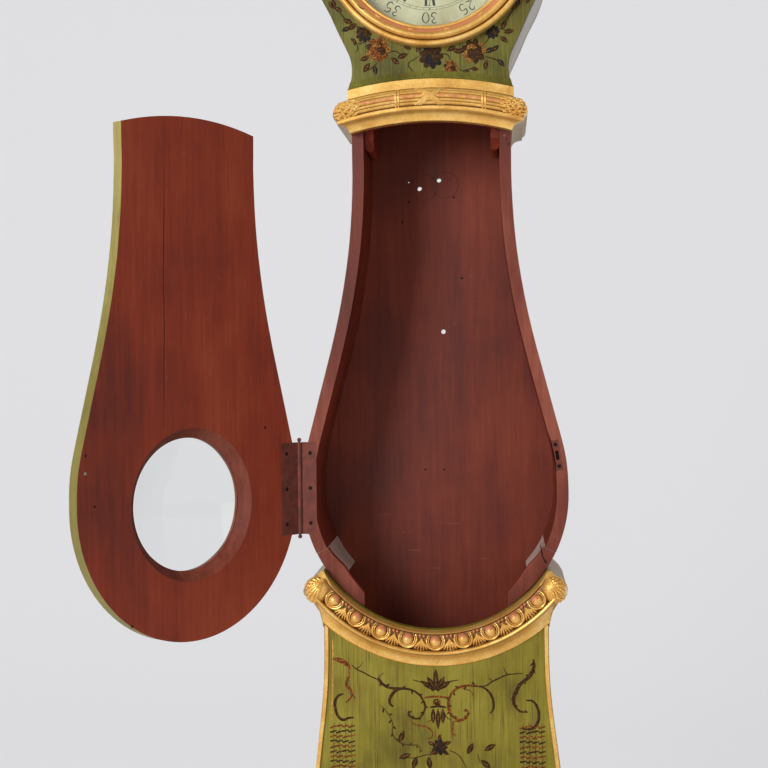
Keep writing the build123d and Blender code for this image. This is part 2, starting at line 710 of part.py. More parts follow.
FLOOR_THK = 16.0
with BuildPart() as base_floor:
    with Locations((0, (CASE_BACK - BACK_THK + WAIST_FRONT) / 2, BASE_Z0 + 2 + FLOOR_THK / 2)):
        Box(2 * (BASE[0][0] - BASE_BOARD - 2), CASE_BACK - BACK_THK - WAIST_FRONT - 1, FLOOR_THK)

BLOCK = (16.0, 60.0)  # glue blocks in the angle between base and waist
BLOCK_LEN = 130.0
BLOCK_BACK = 60.0
BLOCK_X = BASE[-1][0] - BASE_BOARD - 2.0
BLOCK_Z = BELLY_Z - 180.0
with BuildPart() as belly_block_right:
    with BuildSketch(front(BLOCK_BACK)):
        with Locations((BLOCK_X - BLOCK[0] / 2, BLOCK_Z)):
            Rectangle(*BLOCK)
        with Locations((0, BELLY_Z)):
            Circle(PANEL_IN, mode=Mode.SUBTRACT)
    extrude(amount=BLOCK_LEN)
with BuildPart() as belly_blocks:
    add(belly_block_right.part)
    mirror(belly_block_right.part, about=Plane.YZ)

PLINTH_THK = 20.0
PLINTH_Y = -134.0
PLINTH_ARRIS = 4.0
COVE_IN = BASE[0][0] + 0.6
COVE_CUT = 7.0
with BuildPart() as plinth:
    with BuildSketch():
        with Locations((0, (CASE_BACK + PLINTH_Y) / 2)):
            Rectangle(2 * PLINTH_HALF, CASE_BACK - PLINTH_Y)
        with Locations((0, (CASE_BACK + PLINTH_Y) / 2 + PLINTH_THK)):
            Rectangle(2 * (PLINTH_HALF - PLINTH_THK), CASE_BACK - PLINTH_Y, mode=Mode.SUBTRACT)
    extrude(amount=PLINTH_H)
    chamfer(plinth.edges().group_by(Axis.Z)[-1].filter_by(Axis.X).group_by(Axis.Y)[0], PLINTH_ARRIS)

with BuildPart() as plinth_moulding:
    with BuildSketch(Plane.XY.offset(PLINTH_H + GAP)):
        with Locations((0, (CASE_BACK + PLINTH_Y + PLINTH_ARRIS) / 2)):
            Rectangle(2 * (PLINTH_HALF - PLINTH_ARRIS), CASE_BACK - PLINTH_Y - PLINTH_ARRIS)
        with Locations((0, (CASE_BACK + TRIM_Y) / 2)):
            Rectangle(2 * COVE_IN, CASE_BACK - TRIM_Y + 1, mode=Mode.SUBTRACT)
        with Locations((0, CASE_BACK)):
            Rectangle(2 * COVE_IN, 30, mode=Mode.SUBTRACT)
    extrude(amount=COVE_H)
    chamfer(plinth_moulding.edges().group_by(Axis.Z)[-1].group_by(Axis.Y)[0], COVE_CUT)

# ================= hood =================
with BuildPart() as hood_front:
    with BuildSketch(front(HOOD_FRONT + HOOD_THK)):
        with BuildLine():
            top_pt = HOOD[-1]
            ang = degrees(atan2(top_pt[1] - HEAD_Z, top_pt[0]))
            lean = (-sin(radians(ang)), cos(radians(ang)))
            h_r = Spline(*HOOD, tangents=[(-0.03, 1), lean])
            h_l = Spline(*[(-x, z) for x, z in HOOD], tangents=[(0.03, 1), (-lean[0], lean[1])])
            ThreePointArc(h_r @ 1, (0, HEAD_Z + HEAD_R), h_l @ 1)
            Line(h_r @ 0, h_l @ 0)
        make_face()
        with Locations((0, ARCH_Z)):
            Circle(ARCH_TOP + 1, mode=Mode.SUBTRACT)
        with Locations((0, HEAD_Z)):
            Circle(MASK_R, mode=Mode.SUBTRACT)
    extrude(amount=HOOD_THK)

BAND_HALF = HOOD[0][0] + 1.5
BAND_DEEP = 7.0
FLARE = (4.0, 3.0)  # where the band hollows back: above its top, depth left
FLARE_H = 14.0
with BuildPart() as hood_fillet:
    with BuildSketch(Plane.YZ):
        with BuildLine():
            Polyline(
                (HOOD_FRONT - 0.1, ARCH_Z + ARCH_TOP + 1),
                (HOOD_FRONT - BAND_DEEP, ARCH_Z + ARCH_TOP + 1),
                (HOOD_FRONT - BAND_DEEP, ARCH_Z + ARCH_BAND),
                (HOOD_FRONT - FLARE[1], ARCH_Z + ARCH_BAND + FLARE[0]),
                (HOOD_FRONT - 0.1, ARCH_Z + ARCH_BAND + FLARE_H),
                close=True,
            )
        make_face()
    revolve(axis=Axis((0, 0, ARCH_Z), (0, 1, 0)))
    band_back = HOOD_FRONT + 1
    band_face = HOOD_FRONT - BAND_DEEP - 1
    band_plan = [(-BAND_HALF, band_back), (BAND_HALF, band_back), (BAND_HALF, band_face), (-BAND_HALF, band_face)]
    add(prism(band_plan, ARCH_Z + ARCH_TOP / 2, ARCH_Z + ARCH_BAND + FLARE_H + 1), mode=Mode.INTERSECT)

ring_r = hypot(HOOD[-1][0], HOOD[-1][1] - HEAD_Z) - 1
shell_out = [(x - 1, z) for x, z in HOOD[:-1]] + [on_circle(HEAD_Z, ring_r, ang)]
shell_in = inset(shell_out, SHELL_THK)
shell_in[0] = (shell_out[0][0] - SHELL_THK, shell_out[0][1])
with BuildPart() as hood_side_right:
    with BuildSketch(front(CASE_BACK)):
        with BuildLine():
            o = Spline(*shell_out, tangents=[(-0.03, 1), lean])
            i_end = on_circle(HEAD_Z, ring_r - SHELL_THK, ang)
            pts = shell_in[:-1] + [i_end]
            i = Spline(*pts, tangents=[(-0.03, 1), lean])
            Line(o @ 0, i @ 0)
            CenterArc((0, HEAD_Z), ring_r, ang, -ang - 0.1)
            CenterArc((0, HEAD_Z), ring_r - SHELL_THK, ang, -ang - 0.1)
            Line(on_circle(HEAD_Z, ring_r, -0.1), on_circle(HEAD_Z, ring_r - SHELL_THK, -0.1))
        make_face()
    extrude(amount=CASE_BACK - HOOD_FRONT - HOOD_THK - 0.1)
    with Locations((0, 0, 1540)):
        Box(400, 400, 12, mode=Mode.SUBTRACT)
with BuildPart() as hood_sides:
    add(hood_side_right.part)
    mirror(hood_side_right.part, about=Plane.YZ)

with BuildPart() as hood_crown:
    with BuildSketch(front(CASE_BACK)):
        with BuildLine():
            CenterArc((0, HEAD_Z), ring_r, 0.1, 179.8)
            CenterArc((0, HEAD_Z), ring_r - SHELL_THK, 0.1, 179.8)
            Line(on_circle(HEAD_Z, ring_r, 0.1), on_circle(HEAD_Z, ring_r - SHELL_THK, 0.1))
            Line(on_circle(HEAD_Z, ring_r, 179.9), on_circle(HEAD_Z, ring_r - SHELL_THK, 179.9))
        make_face()
    extrude(amount=CASE_BACK - HOOD_FRONT - HOOD_THK - 0.1)

CROWN_IN = HEAD_R - 12.2
CROWN_OUT = HEAD_R + 7.8
CROWN_DEEP = 12.0
CROWN_LIP = 5.0
CROWN_FOOT = 68.0  # its ends above the middle of the head
with BuildPart() as crown_moulding:
    with BuildSketch(Plane.YZ):
        with BuildLine():
            Polyline(
                (HOOD_FRONT - 0.1, HEAD_Z + CROWN_IN),
                (HOOD_FRONT - CROWN_LIP, HEAD_Z + CROWN_IN),
                (HOOD_FRONT - CROWN_DEEP, HEAD_Z + CROWN_IN + CROWN_DEEP - CROWN_LIP),
                (HOOD_FRONT - CROWN_DEEP, HEAD_Z + CROWN_OUT - CROWN_LIP),
                (HOOD_FRONT - CROWN_DEEP + CROWN_LIP, HEAD_Z + CROWN_OUT),
                (HOOD_FRONT - 0.1, HEAD_Z + CROWN_OUT),
                close=True,
            )
        make_face()
    revolve(axis=Axis((0, 0, HEAD_Z), (0, 1, 0)))
    below = CROWN_OUT + CROWN_FOOT + 1
    with Locations((0, HOOD_FRONT, HEAD_Z + CROWN_FOOT - below / 2)):
        Box(2 * CROWN_OUT + 2, 4 * CROWN_DEEP, below, mode=Mode.SUBTRACT)

CREST_Z = HEAD_Z + CROWN_OUT - 6
CREST_THK = 26.0
CREST_BACK = HOOD_FRONT + 14.0
LOBES = 4  # on each side of the middle one
LOBE_LONG = 74.0
LOBE_SHORTER = 5.5  # from lobe to lobe
LOBE_TILT = 19.0
LOBE_HALF = 13.0
FAN_Z = CREST_Z + 52.0
BOSS_R = 30.0
NECK = (54.0, 40.0)
SCROLL = (62.0, 24.0)  # middle of each scroll: aside, up
SCROLL_R = 34.0
SCROLL_EYE = 19.0
CURL_R = 12.0
HUSK = (34.0, 12.0)  # half sizes of the leaf that trails over the crown
HUSK_AT = (104.0, -10.0)
HUSK_TILT = 34.0
with BuildPart() as crest:
    with BuildSketch(front(CREST_BACK)):
        for k in range(-LOBES, LOBES + 1):
            long = LOBE_LONG - LOBE_SHORTER * abs(k)
            tilt = LOBE_TILT * k
            lobe_x = 0.9 * long * sin(radians(tilt))
            lobe_z = FAN_Z + long * cos(radians(tilt))
            with Locations(Location((lobe_x, lobe_z, 0), (0, 0, -tilt))):
                Ellipse(LOBE_HALF, long * 0.55)
        with Locations((0, FAN_Z - 6)):
            Circle(BOSS_R)
        with Locations((0, CREST_Z + 12)):
            Rectangle(*NECK)
        for side in (-1, 1):
            with Locations((side * SCROLL[0], CREST_Z + SCROLL[1])):
                Circle(SCROLL_R)
                Circle(SCROLL_EYE, mode=Mode.SUBTRACT)
            with Locations((side * SCROLL[0], CREST_Z + SCROLL[1] - CURL_R)):
                Circle(CURL_R)
            with Locations((side * HUSK_AT[0], CREST_Z + HUSK_AT[1])):
                Ellipse(*HUSK, rotation=-HUSK_TILT * side)
        with Locations((0, HEAD_Z)):
            Circle(CROWN_OUT + 0.5, mode=Mode.SUBTRACT)
    extrude(amount=CREST_THK)

with BuildPart() as back_board:
    with BuildSketch(front(CASE_BACK)):
        with BuildLine():
            k_r = Spline(*BASE)
            k_l = Spline(*[(-x, z) for x, z in BASE])
            Line(k_r @ 0, k_l @ 0)
            Line(k_r @ 1, k_l @ 1)
        make_face()
        with BuildLine():
            r_side = Spline(*PEAR, tangents=[(0, 1), (0, 1)])
            l_side = Spline(*[(-x, z) for x, z in PEAR], tangents=[(0, 1), (0, 1)])
            Line(r_side @ 1, l_side @ 1)
            CenterArc((0, BELLY_Z), BELLY_R, 180, 180)
        make_face()
        with Locations((0, HEAD_Z)):
            Circle(ring_r - SHELL_THK - 5)
        with Locations((0, (NECK_TOP - 5 + HEAD_Z) / 2)):
            Rectangle(2 * (NECK_HALF - BOARD), HEAD_Z - NECK_TOP + 5)
        with Locations(*HOLES):
            Circle(HOLE_R, mode=Mode.SUBTRACT)
        with Locations(NAIL_HOLE):
            Circle(NAIL_R, mode=Mode.SUBTRACT)
    extrude(amount=BACK_THK)

# ================= bezel door =================
BZ = HOOD_FRONT - GAP
BH_X = -BEZEL_OUT - 7.0  # bezel hinge
BH_Y = BZ - 3.6
BH_Z = HEAD_Z
BH_R = 3.2  # knuckles
BH_PIN = 1.3
BH_KNUCKLE = 9.4
BH_STEP = 10.0  # from knuckle to knuckle
BH_LEN = 3 * BH_STEP
BH_LEAF = (7.0, 2.0)
GLASS_REBATE = 7.0
GLASS_THK = 3.0
BEZEL_PROFILE = [  # depth in front of the hood, radius
    (0.0, MASK_R),
    (GLASS_REBATE, MASK_R),
    (GLASS_REBATE, BEZEL_IN),
    (12.0, BEZEL_IN),
    (15.0, BEZEL_IN + 1.2),
    (15.6, BEZEL_IN + 3.4),
    (14.4, BEZEL_IN + 5.2),
    (15.5, BEZEL_IN + 6.0),
    (17.5, BEZEL_IN + 12.0),
    (19.5, BEZEL_IN + 12.4),
    (25.0, BEZEL_IN + 15.0),
    (26.0, BEZEL_IN + 18.0),
    (24.0, BEZEL_IN + 21.0),
    (18.0, BEZEL_IN + 23.0),
    (16.0, BEZEL_OUT - 9.8),
    (18.5, BEZEL_OUT - 8.6),
    (20.0, BEZEL_OUT - 6.0),
    (18.5, BEZEL_OUT - 2.6),
    (14.0, BEZEL_OUT - 0.5),
    (6.0, BEZEL_OUT),
    (0.0, BEZEL_OUT),
]
with BuildPart() as bezel_ring:
    with BuildSketch(Plane.YZ):
        with BuildLine():
            Polyline(*[(BZ - d, HEAD_Z + r) for d, r in BEZEL_PROFILE], close=True)
        make_face()
    revolve(axis=Axis((0, 0, HEAD_Z), (0, 1, 0)))
    reach = -BEZEL_OUT + 3 - BH_X
    for side in (-1, 1):
        with Locations((BH_X + reach / 2, BH_Y - 1, BH_Z + BH_STEP * side)):
            Box(reach, BH_LEAF[1], BH_KNUCKLE)
        with Locations((BH_X, BH_Y, BH_Z + BH_STEP * side)):
            Cylinder(BH_R, BH_KNUCKLE)
    with Locations((BH_X, BH_Y, BH_Z)):
        Cylinder(BH_PIN, BH_LEN)

with BuildPart() as dial_glass:
    with BuildSketch(front(BZ - GLASS_REBATE + GLASS_THK + 0.5)):
        with Locations((0, HEAD_Z)):
            Circle(MASK_R - 0.5)
    extrude(amount=GLASS_THK)

with BuildPart() as bezel_hinge_leaf:
    with BuildSketch(front(HOOD_FRONT - 0.1)):
        with Locations((BH_X - 2.5 - BH_LEAF[0] / 2, BH_Z)):
            Rectangle(BH_LEAF[0], BH_LEN)
    extrude(amount=BH_LEAF[1])
    with Locations((BH_X - 1.5, HOOD_FRONT - 0.1 - BH_LEAF[1] / 2, BH_Z)):
        Box(3, BH_LEAF[1], BH_KNUCKLE - 0.4)
    with Locations((BH_X, BH_Y, BH_Z)):
        Cylinder(BH_R, BH_KNUCKLE)
        Cylinder(BH_PIN + RUN, BH_KNUCKLE + 2, mode=Mode.SUBTRACT)

# ================= movement: plates =================
C = (0.0, HEAD_Z)
G = (45.0, HEAD_Z - 17.0)  # going barrel
S = (-45.0, HEAD_Z - 17.0)  # striking barrel
GREAT = 72
LEAVES = 8
M_GREAT = 2 * hypot(G[0], G[1] - C[1]) / (GREAT + LEAVES)
CENTRE = 60
M_CENTRE = 0.8
CENTRE_AX = 2.0
D_THIRD = M_CENTRE * (CENTRE + LEAVES) / 2
T = (D_THIRD * cos(radians(60)), HEAD_Z + D_THIRD * sin(radians(60)))
THIRD = 56
ESC_LEAVES = 7
M_THIRD = 0.7
D_ESC = M_THIRD * (THIRD + ESC_LEAVES) / 2
E = (0.0, T[1] + sqrt(D_ESC**2 - T[0] ** 2))
ESC_TEETH = 30
ESC_R = 20.0
A = (0.0, E[1] + 28.0)
P_X = -30.0
P = (P_X, S[1] + sqrt(hypot(G[0], G[1] - C[1]) ** 2 - (P_X - S[0]) ** 2))
PINW = 60
M_PIN = 2 / 3
D_FLY = M_PIN * (PINW + LEAVES) / 2
F = (P[0] - 12.0, P[1] + sqrt(D_FLY**2 - 12.0**2))
H = (-62.0, HEAD_Z + 60.0)
MIN_TEETH = 30
M_MOTION = 1.2
D_MOTION = M_MOTION * MIN_TEETH
MW = (D_MOTION * cos(radians(30)), HEAD_Z + D_MOTION * sin(radians(30)))
MIN_LEAVES = 8
HOUR = 96
M_HOUR = 2 * D_MOTION / (MIN_LEAVES + HOUR)
STUD_R = 1.2
PLATE_B = PLATE_F + PLATE_THK + PLATE_GAP  # front face of the back plate
PIVOT = 1.5
BARREL_AX = 4.0

PLATE_FOOT = 92.0  # half widths of the plates
PLATE_HEAD = 66.0
PLATE_TOP = HEAD_Z + 84.0
PLATE_CORNER = 6.0
PLATE_SHAPE = [
    (-PLATE_FOOT, SEAT_Z + 0.5),
    (PLATE_FOOT, SEAT_Z + 0.5),
    (PLATE_HEAD, PLATE_TOP),
    (-PLATE_HEAD, PLATE_TOP),
]
PILLAR_R = 4.5
PILLAR_LOW = (PLATE_FOOT - 12.0, SEAT_Z + 14.0)
PILLAR_HIGH = (PLATE_HEAD - 18.0, PLATE_TOP - 8.0)
PILLARS = [(side * x, z) for x, z in (PILLAR_LOW, PILLAR_HIGH) for side in (-1, 1)]
FOOT_R = 2.6  # feet of the dial plate
FOOT_LOW = (72.0, SEAT_Z + 34.0)
FOOT_HIGH = (30.0, PLATE_TOP - 6.0)
FEET = [(side * x, z) for x, z in (FOOT_LOW, FOOT_HIGH) for side in (-1, 1)]
ANCHOR_ROOM = 6.0  # hole that the anchor's arbor crosses the back plate by
STUD_FOOT = (3.0, 3.4)  # stud of the minute wheel: radius, length
STUD_LEN = 16.0
STUD_CAP = (2.2, 1.6)


def plate(y_back, anchor_hole):
    """Movement plate with its pivot holes."""
    with BuildPart() as body:
        with BuildSketch(front(y_back)):
            with BuildLine():
                Polyline(*PLATE_SHAPE, close=True)
            make_face()
            with Locations(G, S):
                Circle(BARREL_AX + RUN, mode=Mode.SUBTRACT)
            with Locations(T, E, P, F, H):
                Circle(PIVOT + RUN, mode=Mode.SUBTRACT)
            with Locations(A):
                Circle(anchor_hole, mode=Mode.SUBTRACT)
            with Locations(C):
                Circle(CENTRE_AX + RUN, mode=Mode.SUBTRACT)
        extrude(amount=PLATE_THK)
        fillet(body.edges().filter_by(Axis.Y).filter_by(GeomType.LINE), PLATE_CORNER)
    return body


with BuildPart() as front_plate:
    add(plate(PLATE_F + PLATE_THK, PIVOT + RUN).part)
    with BuildSketch(front(PLATE_F)):
        with Locations(MW):
            Circle(STUD_FOOT[0])
    extrude(amount=STUD_FOOT[1])
    with BuildSketch(front(PLATE_F)):
        with Locations(MW):
            Circle(STUD_R)
    extrude(amount=STUD_LEN)
    with BuildSketch(front(PLATE_F - STUD_LEN + STUD_CAP[1])):
        with Locations(MW):
            Circle(STUD_CAP[0])
    extrude(amount=STUD_CAP[1])

with BuildPart() as back_plate:
    add(plate(PLATE_B + PLATE_THK, ANCHOR_ROOM).part)
    with BuildSketch(front(PLATE_B)):
        with Locations(*PILLARS):
            Circle(PILLAR_R)
    extrude(amount=PLATE_GAP)

DIAL_BACK = -98.0
DIAL_THK = 1.6
HAND_HOLE = 6.0
KEY_HOLE = 6.5
with BuildPart() as dial_plate:
    with BuildSketch(front(DIAL_BACK)):
        with Locations(C):
            Circle(DIAL_R)
            Circle(HAND_HOLE, mode=Mode.SUBTRACT)
        with Locations(G, S):
            Circle(KEY_HOLE, mode=Mode.SUBTRACT)
    extrude(amount=DIAL_THK)
    with BuildSketch(front(PLATE_F)):
        with Locations(*FEET):
            Circle(FOOT_R)
    extrude(amount=PLATE_F - DIAL_BACK)

COCK_Y = PLATE_B + PLATE_THK
COCK = (36.0, 12.0)  # bridge behind the back plate: length, height
COCK_LEG = 6.0
COCK_ROOM = 18.0
COCK_THK = 4.0
HOOK = (8.0, 6.0, 8.0)  # where the pendulum hangs
with BuildPart() as back_cock:
    with BuildSketch(front(COCK_Y + COCK_ROOM + COCK_THK)):
        with Locations((0, A[1])):
            Rectangle(*COCK)
            Circle(PIVOT + RUN, mode=Mode.SUBTRACT)
    extrude(amount=COCK_THK)
    with BuildSketch(front(COCK_Y + COCK_ROOM)):
        with Locations((-(COCK[0] - COCK_LEG) / 2, A[1]), ((COCK[0] - COCK_LEG) / 2, A[1])):
            Rectangle(COCK_LEG, COCK[1])
    extrude(amount=COCK_ROOM)
    with BuildSketch(front(COCK_Y + COCK_ROOM + COCK_THK + HOOK[2])):
        with Locations((0, A[1] + COCK[1] / 2 - HOOK[1] / 2)):
            Rectangle(HOOK[0], HOOK[1])
    extrude(amount=HOOK[2])

BELL_Z = HEAD_Z + 116.0
BELL_R = 38.0
BELL_WALL = 3.0
BELL_Y = -36.0
BELL_HOLE = 2.5
STRAP = 4.0  # bell stand: thickness, half its width
STRAP_DROP = 6.0
STRAP_FOOT = PLATE_TOP - 16.0
STRAP_TOP = BELL_Z + BELL_R + 18.0
SPINDLE = (2.2, 16.0)
with BuildPart() as bell:
    with Locations((0, BELL_Y, BELL_Z)):
        Sphere(BELL_R)
        Sphere(BELL_R - BELL_WALL, mode=Mode.SUBTRACT)
    with Locations((0, BELL_Y, BELL_Z - BELL_R)):
        Box(2 * BELL_R + 4, 2 * BELL_R + 4, 2 * BELL_R, mode=Mode.SUBTRACT)
    with Locations((0, BELL_Y, BELL_Z + BELL_R)):
        Cylinder(BELL_HOLE, 2 * BELL_WALL + 2, mode=Mode.SUBTRACT)
with BuildPart() as bell_stand:
    with BuildSketch(Plane.YZ.offset(-STRAP)):
        with BuildLine():
            Polyline(
                (COCK_Y, STRAP_FOOT),
                (COCK_Y + STRAP, STRAP_FOOT),
                (COCK_Y + STRAP, STRAP_TOP),
                (BELL_Y - STRAP, STRAP_TOP),
                (BELL_Y - STRAP, STRAP_TOP - STRAP_DROP),
                (COCK_Y, STRAP_TOP - STRAP_DROP),
                close=True,
            )
        make_face()
    extrude(amount=2 * STRAP)
    with Locations((0, BELL_Y, STRAP_TOP - STRAP_DROP - SPINDLE[1] / 2)):
        Cylinder(*SPINDLE)
    with Locations((0, COCK_Y + STRAP / 2, A[1])):
        Box(3 * STRAP, 2 * STRAP, COCK[1] + 4, mode=Mode.SUBTRACT)

# ================= movement: wheels =================
def gear_points(n, m, centre, tooth_deg):
    """Outline of a gear with a tooth at tooth_deg."""
    r = n * m / 2
    rings = [(r - 1.15 * m, 0.25), (r + 0.75 * m, 0.10)]
    out = []
    step = 360.0 / n
    for k in range(n):
        a = tooth_deg + k * step
        for rad, part in ((rings[0][0], -0.29), (rings[1][0], -0.10), (rings[1][0], 0.10), (rings[0][0], 0.29)):
            q = radians(a + part * step)
            out.append((centre[0] + rad * cos(q), centre[1] + rad * sin(q)))
    return out


def bearing(a, b):
    """Direction from one arbor to another, in degrees."""
    return degrees(atan2(b[1] - a[1], b[0] - a[0]))


def gear(n, m, centre, tooth_deg, y_back, thick, crossings=0, bore=0.0):
    """A wheel or pinion, with round crossings cut in the web of a wheel."""
    with BuildPart() as body:
        with BuildSketch(front(y_back)):
            with BuildLine():
                Polyline(*gear_points(n, m, centre, tooth_deg), close=True)
            make_face()
            if crossings:
                r_web = n * m / 2 * 0.56
                with Locations(centre):
                    with PolarLocations(r_web, crossings):
                        Circle(n * m / 2 * 0.24, mode=Mode.SUBTRACT)
            if bore:
                with Locations(centre):
                    Circle(bore, mode=Mode.SUBTRACT)
        extrude(amount=thick)
    return body.part


def rod(centre, r, y_back, y_front):
    """A round rod along Y."""
    with BuildPart() as body:
        with BuildSketch(front(y_back)):
            with Locations(centre):
                Circle(r)
        extrude(amount=y_back - y_front)
    return body.part


END_B = PLATE_B + PLATE_THK - 0.5
END_F = PLATE_F + 0.5
DRUM_R = 30.0
SQUARE_LEN = 22.5  # the winding squares end behind the hour hand

# going side: wheel planes, back faces
Y_GREAT = -13.5
Y_CENTRE = -5.5
Y_THIRD = -28.0
Y_ESC = -43.0
Y_S_GREAT = -21.5
Y_PIN = -12.0

with BuildPart() as going_wheel:
    add(gear(GREAT, M_GREAT, G, bearing(G, C), Y_GREAT, 3, 6))
    add(rod(G, 9, Y_GREAT + 1, Y_GREAT - 4))
    add(rod(G, BARREL_AX + 0.02, Y_GREAT + 5, Y_GREAT - 5), mode=Mode.SUBTRACT)
with BuildPart() as going_barrel:
    add(rod(G, DRUM_R, -18.0, -50.0))
    add(rod(G, DRUM_R + 3, -48.0, -50.0))
    add(rod(G, BARREL_AX, END_B, -80.0))
    with BuildSketch(front(-80)):
        with Locations(G):
            Rectangle(6, 6)
    extrude(amount=SQUARE_LEN)
with BuildPart() as strike_wheel:
    add(gear(GREAT, M_GREAT, S, bearing(S, P), Y_S_GREAT, 3, 6))
    add(rod(S, 9, Y_S_GREAT + 1, Y_S_GREAT - 3))
    add(rod(S, BARREL_AX + 0.02, Y_S_GREAT + 5, Y_S_GREAT - 5), mode=Mode.SUBTRACT)
with BuildPart() as strike_barrel:
    add(rod(S, DRUM_R, -25.0, -50.0))
    add(rod(S, DRUM_R + 3, -48.0, -50.0))
    add(rod(S, BARREL_AX, END_B, -80.0))
    with BuildSketch(front(-80)):
        with Locations(S):
            Rectangle(6, 6)
    extrude(amount=SQUARE_LEN)

with BuildPart() as centre_wheel:
    add(gear(CENTRE, M_CENTRE, C, bearing(C, T), Y_CENTRE, 2.5, 5))
    add(gear(LEAVES, M_GREAT, C, bearing(C, G) + 180.0 / LEAVES, Y_GREAT + 2, 7))
    add(rod(C, 2.6, Y_CENTRE + 2, -55.0))
    add(rod(C, CENTRE_AX, END_B, -118.0))
with BuildPart() as third_wheel:
    add(gear(THIRD, M_THIRD, T, bearing(T, E), Y_THIRD, 2, 5))
    add(gear(LEAVES, M_CENTRE, T, bearing(T, C) + 180.0 / LEAVES, Y_CENTRE + 2.5, 8))
    add(rod(T, PIVOT, END_B, END_F))
with BuildPart() as escape_wheel:
    with BuildSketch(front(Y_ESC)):
        with BuildLine():
            tips = []
            for k in range(ESC_TEETH):
                a = radians(k * 360.0 / ESC_TEETH + 6)
                b = radians(k * 360.0 / ESC_TEETH + 8.6)
                c = radians(k * 360.0 / ESC_TEETH + 13)
                tips.append((E[0] + 16.4 * cos(a), E[1] + 16.4 * sin(a)))
                tips.append((E[0] + ESC_R * cos(a + 0.012), E[1] + ESC_R * sin(a + 0.012)))
                tips.append((E[0] + ESC_R * cos(b - 0.012), E[1] + ESC_R * sin(b - 0.012)))
                tips.append((E[0] + 16.4 * cos(c), E[1] + 16.4 * sin(c)))
            Polyline(*tips, close=True)
        make_face()
        with Locations(E):
            with PolarLocations(9.5, 5):
                Circle(4, mode=Mode.SUBTRACT)
    extrude(amount=2)
    add(gear(ESC_LEAVES, M_THIRD, E, bearing(E, T) + 180.0 / ESC_LEAVES, Y_THIRD + 3, 8))
    add(rod(E, PIVOT, END_B, END_F))

NIB = 45.0
with BuildPart() as anchor:
    with BuildSketch(front(Y_ESC + 1)):
        with BuildLine():
            left = (E[0] - (ESC_R + 1.4) * sin(radians(NIB)), E[1] + (ESC_R + 1.4) * cos(radians(NIB)))
            Polyline(
                (0, A[1] + 5), (left[0] - 5, left[1] + 9), (left[0] - 3.5, left[1] - 1), left, (left[0] + 2, left[1] + 4),
                (0, A[1] - 4), (-left[0] - 2, left[1] + 4), (-left[0], left[1]), (-left[0] + 3.5, left[1] - 1),
                (-left[0] + 5, left[1] + 9), close=True,
            )
        make_face()
        with Locations(E):
            Circle(ESC_R + 1.2, mode=Mode.SUBTRACT)
    extrude(amount=4)
    add(rod(A, PIVOT, COCK_Y + 21.5, END_F))
    add(rod(A, 5, COCK_Y + 13, COCK_Y + 7))
    with BuildSketch(front(COCK_Y + 12)):
        with Locations((0, A[1] - 52)):
            Rectangle(4, 96)
    extrude(amount=3)
    with Locations((0, COCK_Y + 16, A[1] - 96)):
        Box(12, 14, 4)
        Box(5, 18, 6, mode=Mode.SUBTRACT)
    with Locations((0, COCK_Y + 10.5, A[1] - 96)):
        Box(12, 3, 6)

with BuildPart() as pin_wheel:
    add(gear(PINW, M_PIN, P, bearing(P, F), Y_PIN, 2, 5))
    add(gear(LEAVES, M_GREAT, P, bearing(P, S) + 180.0 / LEAVES, Y_S_GREAT + 2, 6.8))
    add(rod(P, PIVOT, END_B, END_F))
    with BuildSketch(front(Y_PIN + 6)):
        with Locations(P):
            with PolarLocations(15.0, 8, start_angle=22):
                Circle(0.9)
    extrude(amount=6.2)
with BuildPart() as fly:
    add(gear(LEAVES, M_PIN, F, bearing(F, P) + 180.0 / LEAVES, Y_PIN + 2.5, 7))
    add(rod(F, PIVOT, END_B, END_F))
    with BuildSketch(front(-36)):
        with Locations(F):
            Rectangle(26, 1.2)
            Circle(2.4)
    extrude(amount=13)

with BuildPart() as hammer:
    add(rod(H, PIVOT, END_B, END_F))
    with BuildSketch(front(BELL_Y + 1.5)):
        with Locations((H[0], H[1] + 32)):
            Rectangle(3, 64)
        with Locations(H):
            Circle(4)
    extrude(amount=3)
    with Locations((H[0] + 8, BELL_Y, H[1] + 62)):
        Cylinder(6, 20, rotation=(0, 90, 0))

with BuildPart() as minute_wheel:
    add(gear(MIN_TEETH, M_MOTION, MW, bearing(MW, C) + 180.0 / MIN_TEETH, PLATE_F - 4.0, 2, 4))
    add(gear(MIN_LEAVES, M_HOUR, MW, bearing(MW, C) + 180.0 / MIN_LEAVES, PLATE_F - 5.8, 8))
    add(rod(MW, STUD_R + RUN, PLATE_F, PLATE_F - 20), mode=Mode.SUBTRACT)
with BuildPart() as cannon_wheel:
    add(gear(MIN_TEETH, M_MOTION, C, bearing(C, MW), PLATE_F - 4.0, 2, 4))
    add(rod(C, 3.2, PLATE_F - 1.0, -115.0))
    add(rod(C, CENTRE_AX + RUN, PLATE_F, -120.0), mode=Mode.SUBTRACT)
with BuildPart() as hour_wheel:
    add(gear(HOUR, M_HOUR, C, bearing(C, MW), PLATE_F - 10.0, 2, 6))
    add(rod(C, 4.6, PLATE_F - 8.0, -106.5))
    add(rod(C, 3.2 + RUN, PLATE_F, -120.0), mode=Mode.SUBTRACT)


